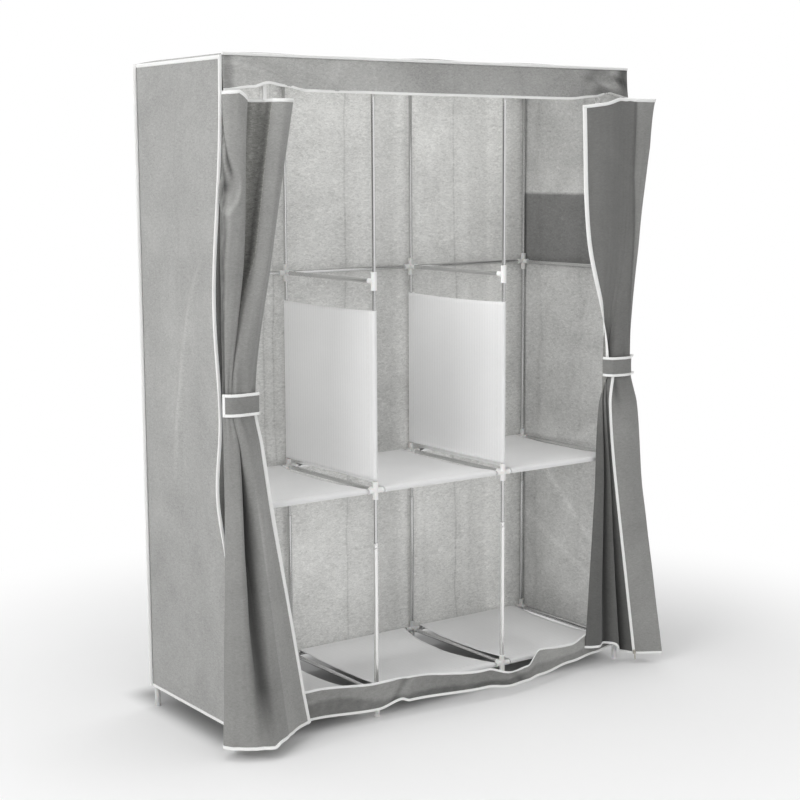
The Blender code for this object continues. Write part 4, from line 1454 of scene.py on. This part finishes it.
def sleeved_profile(rod):
    """Returns the sheet's section as (depth, height, share) points, from seam to seam."""
    round_radius = rod + clearance + shelf_thickness / 2
    seam = Vector((tuck, round_radius - 0.0014))
    start = math.atan2(seam.y, seam.x) - math.acos(round_radius / seam.length)
    path = [(seam.x, seam.y, 0.0)]
    turn = start + 1.5 * math.pi
    for step in range(sleeve_steps + 1):
        angle = start - turn * step / sleeve_steps
        path.append((round_radius * math.cos(angle), round_radius * math.sin(angle), 0.0))
    sleeve = list(path)
    for step in range(1, flat_steps):
        share = step / flat_steps
        path.append((frame_depth * share, round_radius, share))
    return path + [(frame_depth - x, y, 1.0 - share) for x, y, share in reversed(sleeve)]


# %% Shape of a sleeved sheet
pucker_pitch = 0.017


def sleeved_shape(rod, length, curves, sag, seed, place):
    """Returns the shape of a sleeved sheet. curves are how far its two sides are drawn in."""
    path = sleeved_profile(rod)

    def shape(across, up):
        at = min(up * sheet_steps, sheet_steps - 1e-6)
        index = int(at)
        part = at - index
        depth, height, share = [a + (b - a) * part for a, b in zip(path[index], path[index + 1])]
        depth_share = min(max(depth, 0), frame_depth) / frame_depth
        hollow = 4 * depth_share * (1 - depth_share)
        pull = curves[0] * hollow * (1 - across) - curves[1] * hollow * across
        along = length * (across - 0.5) + pull
        middle_part = math.sin(math.pi * share) if 0 < share < 1 else 0
        height -= middle_part * sag * (0.55 + 0.45 * math.sin(math.pi * across))
        height += middle_part * 0.0022 * noise_at(along, depth, 0, 9, seed)
        from_seam = min(abs(share * frame_depth - tuck), abs((1 - share) * frame_depth - tuck))
        height += 0.0007 * math.sin(along * 2 * math.pi / pucker_pitch + seed) * hump(from_seam, 0.016)
        rim = max(0, 1 - min(across, 1 - across) * length / 0.02)
        height += 0.0016 * rim * noise_at(along, depth, 1, 22, seed + 3)
        return place(along, depth, height)
    return shape


# %% One sleeved sheet with its seams
def seam_stations(shape, depth, count):
    """Reads stations along the sewn line of a sleeve, at one depth."""
    path_share = (sleeve_steps + 2 + depth / frame_depth * flat_steps - 1) / sheet_steps
    found = []
    for index in range(count + 1):
        across = 0.01 + 0.98 * index / count
        point = shape(across, path_share)
        after, before = [shape(held(across + step), path_share) for step in (0.01, -0.01)]
        along = (after - before).normalized()
        deep = (shape(across, path_share + 0.01) - point).normalized()
        found.append((point, deep, along.cross(deep).normalized()))
    return found


def sleeved_sheet(name, shape):
    """Makes a shelf or divider with the two seams of its sleeves."""
    sheet, size = cloth_sheet(name + "_cloth", (46, sheet_steps), shape, shelf_cloth, shelf_cloth,
                              thickness=shelf_thickness)
    seams = [stitch_row(f"{name}_seam_{number}", seam_stations(shape, depth, 60), 0.0,
                        shelf_thickness / 2 + 0.0001, pitch=0.0040)
             for number, depth in ((1, tuck - 0.003), (2, frame_depth - tuck + 0.003))]
    hang(sheet, BODY, [name], size, [join(seams, name + "_seams")])


# %% Shelves at their places
# How far each shelf's left and right sides are drawn in, from the left bay to the right one.
middle_curves = ((0.016, 0.024), (0.020, 0.020), (0.010, 0.018))
bottom_curves = ((0.012, 0.042), (-0.008, 0.042), (-0.017, 0.022))


def flat_place(x, level):
    """Lays a sheet level, with its front rod at a place and height."""
    return lambda along, depth, height: Vector((x + along, front + depth, level + height))


def upright_place(x, level):
    """Stands a sheet on its side, with its front rod upright."""
    return lambda along, depth, height: Vector((x - height, front + depth, level + along))


for bay in range(bay_count):
    centre = (columns[bay] + columns[bay + 1]) / 2
    for label, level, sag, curves, rear_rod in (
            ("middle", middle_level, 0.0035, middle_curves, f"rear_middle_tube_{bay + 1}_steel"),
            ("bottom", bottom_level, 0.003, bottom_curves, f"rear_bottom_rail_tube_{bay + 1}")):
        shape = sleeved_shape(tube_radius, shelf_length, curves[bay], sag, 3.3 * bay + 20 * level,
                              flat_place(centre, level))
        sleeved_sheet(f"{label}_shelf_{bay + 1}", shape)

# %% Dividers at their places
divider_lift = 0.003
divider_height = 0.446
divider_middle = middle_level + connector_reach + divider_lift + divider_height / 2
for column in (1, 2):
    shape = sleeved_shape(post_radius, divider_height, (0.0, 0.004), 0.003, 7.7 * column,
                          upright_place(columns[column], divider_middle))
    sleeved_sheet(f"divider_{column}", shape)

# %% [markdown]
# ## Curtains
# The door is two curtains. Each hangs from the valance and is sewn down its corner, and a
# strap gathers it at the middle. A simulation could gather the cloth, but its folds would fall
# anywhere. So a curtain is lofted: six level cuts are drawn, from the top hem to the bottom
# hem, each as the line that the cloth follows at its height.

# %% Cuts of the curtains
curtain_drop = 0.093
curtain_top = top_level - curtain_drop
curtain_hem_height = 0.030
curtain_reach = 0.212
curtain_bulge = 0.124
tie_height = 0.885
shoulder_height = 0.775
flare_height = 0.500
cut_names = ("top", "chest", "tie", "shoulder", "flare", "hem")
# Each cut is a row of (inward, forward) points in metres, from the corner seam to the free edge.
left_cuts = {
    "top": [(0, 0), (-0.002, 0.006), (0.004, 0.022), (0.025, 0.031), (0.052, 0.026), (0.062, 0.000),
            (0.070, -0.012), (0.096, -0.015), (0.121, -0.004), (0.131, 0.021), (0.157, 0.033),
            (0.186, 0.018)],
    "chest": [(0, 0), (-0.012, -0.003), (-0.020, 0.012), (-0.008, 0.031), (0.018, 0.035), (0.035, 0.026),
              (0.040, 0.004), (0.052, -0.006), (0.062, 0.004), (0.072, 0.029), (0.095, 0.041),
              (0.114, 0.028)],
    "tie": [(0, 0), (-0.014, 0.002), (-0.021, 0.010), (-0.019, 0.020), (-0.011, 0.026), (-0.003, 0.019),
            (0.005, 0.013), (0.003, 0.023), (-0.008, 0.0325), (0.010, 0.0380), (0.040, 0.0365),
            (0.063, 0.020)],
    "shoulder": [(0, 0), (-0.014, 0.002), (-0.022, 0.012), (-0.018, 0.029), (-0.003, 0.038),
                 (0.006, 0.032), (0.013, 0.016), (0.016, 0.024), (0.009, 0.041), (0.032, 0.049),
                 (0.061, 0.036), (0.081, 0.024)],
    "flare": [(0, 0), (-0.016, 0.004), (-0.029, 0.018), (-0.024, 0.043), (-0.007, 0.056), (0.007, 0.045),
              (0.012, 0.014), (0.034, 0.008), (0.042, 0.044), (0.062, 0.064), (0.098, 0.038),
              (0.122, 0.031)],
    "hem": [(0, 0), (-0.030, 0.006), (-0.052, 0.030), (-0.040, 0.053), (-0.018, 0.071), (0.006, 0.087),
            (0.030, 0.100), (0.052, 0.111), (0.074, 0.110), (0.117, 0.079), (0.160, 0.045),
            (0.206, 0.027)]}
right_cuts = {
    "top": [(0, 0), (-0.028, 0.010), (-0.055, 0.026), (-0.065, 0.052), (-0.034, 0.055), (0, 0.052),
            (0.030, 0.047), (0.062, 0.046), (0.100, 0.052), (0.145, 0.048), (0.191, 0.030)],
    "chest": [(0, 0), (-0.006, 0.010), (-0.013, 0.028), (-0.012, 0.050), (0.002, 0.052), (0.020, 0.0484),
              (0.040, 0.043), (0.066, 0.042), (0.096, 0.048), (0.128, 0.044), (0.166, 0.027)],
    "tie": [(0, 0), (0.001, 0.012), (0.002, 0.026), (0.010, 0.040), (0.038, 0.0445), (0.067, 0.0345),
            (0.074, 0.022), (0.074, 0.014), (0.083, 0.006), (0.0845, 0.015), (0.079, 0.027)],
    "shoulder": [(0, 0), (-0.010, 0.008), (-0.022, 0.024), (-0.018, 0.045), (0.028, 0.053),
                 (0.077, 0.033), (0.084, 0.018), (0.092, 0.030), (0.092, 0.014), (0.100, 0.025),
                 (0.102, 0.013)],
    "flare": [(0, 0), (-0.018, 0.010), (-0.038, 0.030), (-0.042, 0.053), (0.008, 0.063), (0.052, 0.042),
              (0.062, 0.014), (0.074, 0.038), (0.086, 0.014), (0.100, 0.034), (0.118, 0.016)],
    "hem": [(0, 0), (-0.028, 0.014), (-0.060, 0.050), (-0.079, 0.105), (-0.045, 0.086), (-0.0085, 0.0583),
            (0.010, 0.016), (0.046, 0.044), (0.076, 0.018), (0.115, 0.040), (0.152, 0.020)]}


# %% [markdown]
# ### From cuts to cloth
# A point across the curtain is read from all six cuts, and a smooth curve through these gives
# its place at every height. The top edge follows the valance's hem where it is sewn on, and the
# bottom hem is hitched up towards the free edge.

# %% Plain shape of a curtain
left_sewn, right_sewn = 0.055, 0.190
chest_share = 0.50
hitch_shares = [(0, 0), (0.62, 0), (0.74, 1), (1, 1)]


def height_curve(values, heights, height):
    """Reads a smooth curve through values at falling heights. Its last stretch is straight."""
    slopes = []
    for index in range(len(values)):
        low = max(index - 1, 0)
        high = min(index + 1, len(values) - 1)
        slopes.append((values[high] - values[low]) / (heights[high] - heights[low]))
    slopes[2] = 0
    slopes[-2] = slopes[-1]
    for index in range(len(values) - 1):
        if height >= heights[index + 1]:
            break
    span = heights[index + 1] - heights[index]
    step = (height - heights[index]) / span
    start = values[index] * (1 + 2 * step) + slopes[index] * span * step
    end = values[index + 1] * (3 - 2 * step) + slopes[index + 1] * span * (step - 1)
    return start * (1 - step) ** 2 + end * step ** 2


def curtain_base(side, cut_points, hitch):
    """Returns the plain shape of a curtain, without its fine pleats."""
    chest = tie_height + (curtain_top - tie_height) * chest_share
    heights = [curtain_top, chest, tie_height, shoulder_height, flare_height, curtain_hem_height]

    def shape(across, up):
        height = curtain_hem_height + (curtain_top - curtain_hem_height) * up
        cuts = [curve_point(cut_points[name], across) for name in cut_names]
        inward = height_curve([cut[0] for cut in cuts], heights, height)
        forward = height_curve([cut[1] for cut in cuts], heights, height)
        near_seam = max(0, 1 - across / 0.10)
        inward -= (1.0 if side < 0 else 0.5) * corner_bow(height) * near_seam ** 2
        ends_up = held((up - 0.93) / 0.07)
        ends_low = held((0.06 - up) / 0.06)
        if side < 0:
            sewn = max(0, 1 - max(inward, 0) / left_sewn)
        else:
            sewn = 0.5 * max(0, 1 - max(inward, 0) / right_sewn)
        seam_share = held(inward / (2 * side_plane))
        hem = valance_hem(seam_share if side < 0 else 1 - seam_share) - clearance
        height += (hem - height) * min(1, 2 * sewn) * ends_up
        height += hitch * smooth_value(hitch_shares, across) * ends_low
        return Vector((side * (side_plane - inward), valance_plane - forward, height))
    return shape


# %% [markdown]
# ### Pleats and tucks
# Fine pleats cross the lofted cloth, deepest where the strap pulls it in, and slower waves lie
# over them. High on the left curtain the cloth is caught in the corner, which makes a pointed
# tuck with a rounded lip below it. The right curtain has one sharp crease along its corner.

# %% Folds of a curtain
pleat_count = 8


def tuck_at(across, height):
    """Share of the pointed tuck high on the left curtain, where its cloth is caught in the corner."""
    line = 0.09 + 1.55 * (1.545 - height)
    reach = held((1.60 - height) / 0.05) * held((height - 1.420) / 0.025)
    return reach * hump(across - line, 0.027)


def lip_at(across, height):
    """Share of the rounded lip of cloth that hangs below the tuck."""
    ring = math.hypot((across - 0.235) / 0.095, (height - 1.412) / 0.062)
    return hump(ring - 1, 0.16) * held((1.437 - height) / 0.03)


def corner_crease(height):
    """Where across the right curtain its corner's crease runs. It meets the outline lower down."""
    return 0.53 - 0.45 * max(0, 1.42 - height)


def curtain_shape(side, cut_points, hitch, seed):
    """Returns the shape of a curtain with pleats that deepen towards its strap."""
    base = curtain_base(side, cut_points, hitch)

    def shape(across, up):
        point = base(across, up)
        beside = base(min(across + 0.01, 1), up) - base(max(across - 0.01, 0), up)
        out = Vector((beside.y, -beside.x, 0))
        if out.length < 1e-6:
            return point
        out.normalize()
        height = point.z
        rim = held(min(across, 1 - across) / 0.05)
        gathered = hump(height - tie_height, 0.10)
        wave = math.sin(across * 2 * math.pi * pleat_count + 2.5 * noise_at(across * 3, height, 0, 1.6, seed))
        depth = 0.0022 * gathered * wave
        depth += 0.0050 * noise_at(across * 2.0, height * 0.6, 0, 2.1, seed + 4) * (1 - 0.5 * gathered)
        depth += 0.0016 * noise_at(across * 5, height * 1.0, 0, 4.0, seed + 9)
        depth += 0.0009 * noise_at(across * 9, height * 2.2, 0, 4.0, seed + 15)
        if side > 0:
            depth *= 1 - hump(across - 0.5, 0.05)
            if height > tie_height + 0.05:
                crease = hump(across - corner_crease(height), 0.010)
                depth -= 0.005 * crease * min(1, (height - 0.93) / 0.2)
        else:
            depth += 0.005 * lip_at(across, height) - 0.010 * tuck_at(across, height)
        return point + out * depth * rim * min(1, (1 - up) / 0.05 + 0.2)
    return shape


# %% [markdown]
# ### Hanging a curtain
# A curtain's place is put into its mesh, and it is not parented to a body. Its hems and its
# free edge are bound. Where a fold turns the cloth over, its faces get the inner finish.

# %% One curtain
curtain_grid = (96, 170)


def bend_with(piece, side, body):
    """Puts a curtain's piece's place into its mesh. Its side and body are not used."""
    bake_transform(piece)


def add_curtain(name, side, cut_points, hitch, seed, tone_at, turned, bound, widths):
    """Adds a curtain. turned says where its cloth shows its inner face, bound its bound edge's ends."""
    shape = curtain_shape(side, cut_points, hitch, seed)
    columns_across, rows_up = curtain_grid
    curtain, size = cloth_sheet(name + "_cloth", curtain_grid, shape, shaded_curtain_outside, shaded_curtain_inside,
                                flip=side > 0)
    darken(curtain, curtain_grid, shape, tone_at)
    for index in range(columns_across * rows_up):
        j, i = divmod(index, columns_across)
        if turned(i / columns_across, curtain_hem_height + (curtain_top - curtain_hem_height) * j / rows_up):
            curtain.data.polygons[index].material_index = 1
    extras = [bind_edge(name + "_hem", shape, "bottom", 220, widths[0]),
              bind_edge(name + "_top_binding", shape, "top", 160, widths[1]),
              bind_edge(name + "_free_edge", shape, "far", 200, widths[2], *bound)]
    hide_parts(name)
    bend_with(curtain, side, name)
    print(name, "flat", [round(value, 3) for value in size], "m")
    return curtain, shape, size, extras


# %% [markdown]
# ### Light and dark in the folds
# Gathered cloth is dark where layers hide behind each other, and light where one layer hangs
# before the bright inside. The lamps give only part of this, because the modelled folds are
# fewer than the real ones. These functions paint the rest on the curtains' points.

# %% Tones of the left curtain
darkest = 0.85


def turned_left(across, height):
    """Says where the left curtain shows its inner face, between its two folds above the strap."""
    return 0.455 <= across <= turned_limit(height) and height > tie_height + 0.04


def turned_limit(height):
    """How far across the left curtain its inner face shows. The recess closes lower down."""
    return 0.80 - 0.70 * max(0, 1.25 - height)


def left_tone(across, up, point):
    """Painted light where one layer hangs before the bright inside, and painted shade in seams and tucks."""
    height = point.z
    at_seam = 0.75 * hump(across, 0.065)
    if height > tie_height:
        if turned_left(across, height):
            valley = hump(across - turned_limit(height) + 0.055, 0.05)
            return 0.50 * valley + 0.4 * noise_at(across * 2, height * 0.3, 0, 7, 3.3)
        lift = -0.36 * min(1, (height - tie_height) / 0.5) - 0.06
        hidden = 0.255 - 0.22 * max(0, height - 1.30)
        strip = held((hidden - across) / 0.03) * held((1.50 - height) / 0.12)
        strip *= 0.62 + 0.4 * noise_at(across * 2, height, 0, 34, 6.1)
        tuck_lines = (1.05 * tuck_at(across, height) + 0.75 * tuck_at(across + 0.070, height)
                      - 0.45 * tuck_at(across + 0.035, height))
        pit = hump(across - 0.215, 0.05) * hump(height - 1.411, 0.019)
        tuck_shade = tuck_lines + 0.80 * pit - 0.38 * lip_at(across, height)
        return min(lift + max(at_seam, strip) + tuck_shade, darkest)
    deep = min(1, (tie_height - height) / 0.25)
    if across > 0.80:
        return -0.40 * deep
    window = held((0.74 - height) / 0.12) * held((height - 0.02) / 0.16)
    valley = hump(across - 0.59, 0.11) * window
    return min(at_seam * deep - 0.16 + 0.92 * valley, 0.82)


# %% Tones of the right curtain
zip_share = 0.5


def right_tone(across, up, point):
    """Painted light past the corner, where daylight comes through, and painted shade in its gathers."""
    height = point.z
    if height > tie_height:
        past = held((corner_crease(height) - across) / 0.02)
        line = hump(across - corner_crease(height) - 0.008, 0.010)
        caught = hump(height - tie_height - 0.03, 0.07) * hump(across - 0.60, 0.07)
        return 0.22 + (0.22 * line - 0.46 * past) * min(1, (height - tie_height) / 0.3) + 0.45 * caught
    deep = min(1, (tie_height - height) / 0.2)
    if across <= zip_share:
        line = 0.48 - 0.35 * (0.86 - height)
        caught = hump(height - 0.825, 0.045) * hump(across - line, 0.018)
        return 0.18 - 0.42 * deep + 0.45 * caught
    valley = hump(across - 0.60, 0.04) + 0.8 * hump(across - 0.80, 0.05)
    return 0.50 * deep + 0.38 * deep * valley


# %% Curtains at their places
left_hitch, right_hitch = 0.012, 0.036
tie_share = (tie_height - curtain_hem_height) / (curtain_top - curtain_hem_height)
left_curtain, _, left_size, left_extras = add_curtain(
    "left_curtain", -1, left_cuts, left_hitch, 5.1, left_tone, turned_left,
    (0.0, tie_share), (0.0075, 0.0075, 0.0110))
right_curtain, right_shape, right_size, right_extras = add_curtain(
    "right_curtain", 1, right_cuts, right_hitch, 8.4, right_tone,
    lambda across, height: False, (tie_share, 1.0), (0.0060, 0.0080, 0.0110))

# %% [markdown]
# ## Zip
# The zip that closes the door runs down the right curtain. Its white tape is seen from the
# strap to the hem. The teeth could be a bump in the tape's finish, but beads catch the light
# from every side, so they are laid as stitches are, only closer together and thicker.

# %% Zip tape and teeth
zip_width = 0.0070
zip_steps = 160
zip_stations = []
for index in range(zip_steps + 1):
    up = tie_share * index / zip_steps
    point = right_shape(zip_share, up)
    above, below = right_shape(zip_share, min(up + 0.002, 1)), right_shape(zip_share, max(up - 0.002, 0))
    along = (above - below).normalized()
    into = squared(right_shape(zip_share + 0.01, up) - point, along)
    zip_stations.append((point - into * zip_width / 2, into, -along.cross(into)))
zip_tape = sweep_tape("zip_tape", zip_stations, zip_width)
teeth = stitch_row("zip_teeth", zip_stations, zip_width / 2, cloth / 2 + tape_thickness * 1.3, both=False,
                   pitch=0.0024, thread=0.0007)
right_extras.append(join([zip_tape, teeth], "zip_tape"))
print("zip tape:", len(zip_tape.data.polygons), "faces")

# %% [markdown]
# ## Loops over the rail
# White loops of tape go over the front rail and hold up each curtain's free top edge. Each
# could be a bent strip of its own, but it is the same tape as the bindings, so the same sweep
# takes it up, round the rail and down again.

# %% Loops over the front rail
loop_width = 0.008


def rail_loop(name, x, hem):
    """Makes one tape loop, from a curtain's top hem over the front rail and back."""
    rail = Vector((0, front, top_level))
    radius = tube_radius + 0.0008
    path = [Vector((0, valance_plane + 0.0016, hem)), Vector((0, front - radius - 0.0008, hem + 0.03))]
    for step in range(9):
        angle = math.pi * step / 8
        path.append(rail + Vector((0, -radius * math.cos(angle), radius * math.sin(angle))))
    path += [Vector((0, front + radius, hem + 0.03)), Vector((0, valance_plane + 0.0034, hem))]
    sideways = Vector((1, 0, 0))
    stations = []
    for index, point in enumerate(path):
        along = (path[min(index + 1, len(path) - 1)] - path[max(index - 1, 0)]).normalized()
        stations.append((Vector((x - loop_width / 2, 0, 0)) + point, sideways, along.cross(sideways)))
    return sweep_tape(name, stations, loop_width, half=0.0004)


loops = [rail_loop(f"rail_loop_{index + 1}", x, curtain_top - 0.004)
         for index, x in enumerate((-side_plane + 0.118, side_plane - 0.105))]
for loop in loops:
    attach(loop, BODY)
for extras, side, name in ((left_extras, -1, "left_curtain"), (right_extras, 1, "right_curtain")):
    for extra in extras:
        bend_with(extra, side, name)
print("loops:", len(loops))

# %% [markdown]
# ## Tie straps
# A strap is a band of the curtain's cloth with white tape round its edges. It goes round the
# gathered curtain and turns open about its sewn end. A ring would look too even, so it is a
# sheet that follows a few points round the bundle, given as shares of the curtain's reach.

# %% Straps
strap_height = 0.054
strap_thickness = 0.0014
strap_tape = 0.0065
tip_length = 0.014
tip_steps = 8
left_strap_shares = [(0.333, 0.10), (0.325, 0.21), (0.283, 0.307), (0.212, 0.324), (0.132, 0.332),
                     (0.047, 0.340), (-0.028, 0.325), (-0.09, 0.273), (-0.135, 0.17)]
right_strap_shares = [(0.42, 0.12), (0.41, 0.24), (0.354, 0.35), (0.24, 0.40), (0.14, 0.40), (0.057, 0.371),
                      (0.01, 0.29), (-0.02, 0.19)]


def strap_shape(side, strap_shares, seed):
    """Returns the shape of a strap, which stands on its edge."""
    def shape(across, up):
        share = curve_point(strap_shares, across)
        wave = 0.0012 * noise_at(across * 3, up, 0, 2.2, seed) * math.sin(math.pi * across)
        inward = share[0] * curtain_reach
        forward = share[1] * curtain_bulge + wave + 0.003 * math.sin(math.pi * across) * 0.5
        return Vector((side * (side_plane - inward), valance_plane - forward,
                       tie_height + strap_height * (up - 0.5)))
    return shape


def tape_tip(name, shape, up):
    """Makes the loose end of an edge's tape, which sticks out past the strap and droops."""
    stations = []
    for index in range(tip_steps + 1):
        share = index / tip_steps
        offset = Vector((tip_length * share, -0.003 * share, 0.003 * math.sin(2.5 * share) - 0.002 * share))
        along = Vector((tip_length, -0.003, 0.0075 * math.cos(2.5 * share) - 0.002)).normalized()
        down = squared(Vector((0, 0, 1 - 2 * up)), along)
        stations.append((shape(1, up) + offset, down, along.cross(down)))
    return sweep_tape(name, stations, narrow_tape, half=0.0008)


for side, label, shares in ((-1, "left", left_strap_shares), (1, "right", right_strap_shares)):
    shape = strap_shape(side, shares, 2 + side)
    strap, size = cloth_sheet(f"{label}_tie_strap_cloth", (60, 10), shape, shaded_curtain_outside, shaded_curtain_outside,
                              flip=side < 0, thickness=strap_thickness)
    extras = [bind_edge(f"{label}_tie_strap_{end}", shape, edge, count, strap_tape)
              for end, edge, count in (("top", "top", 80), ("bottom", "bottom", 80), ("end", "far", 12))]
    if side > 0:
        extras.append(join([tape_tip(f"strap_tip_{up}", shape, up) for up in (0, 1)], "right_tie_strap_tips"))
    hang(strap, f"{label}_tie", [f"{label}_tie_strap"], size,
         extras)

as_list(left_extras)
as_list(right_extras)

# %% [markdown]
# ## Zip slider and pull tab
# The slider and its pull tab are small cast pieces. They could be modelled again, but the CAD
# part has their full form already and they are tiny in every view, so they are shown as they
# are, in the alloy's finish.

# %% Zip metal
for node in ("zip_slider", "zip_pull"):
    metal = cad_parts[node]
    metal.data.materials.clear()
    metal.data.materials.append(zip_alloy)
print("zip metal:", zip_alloy.name)
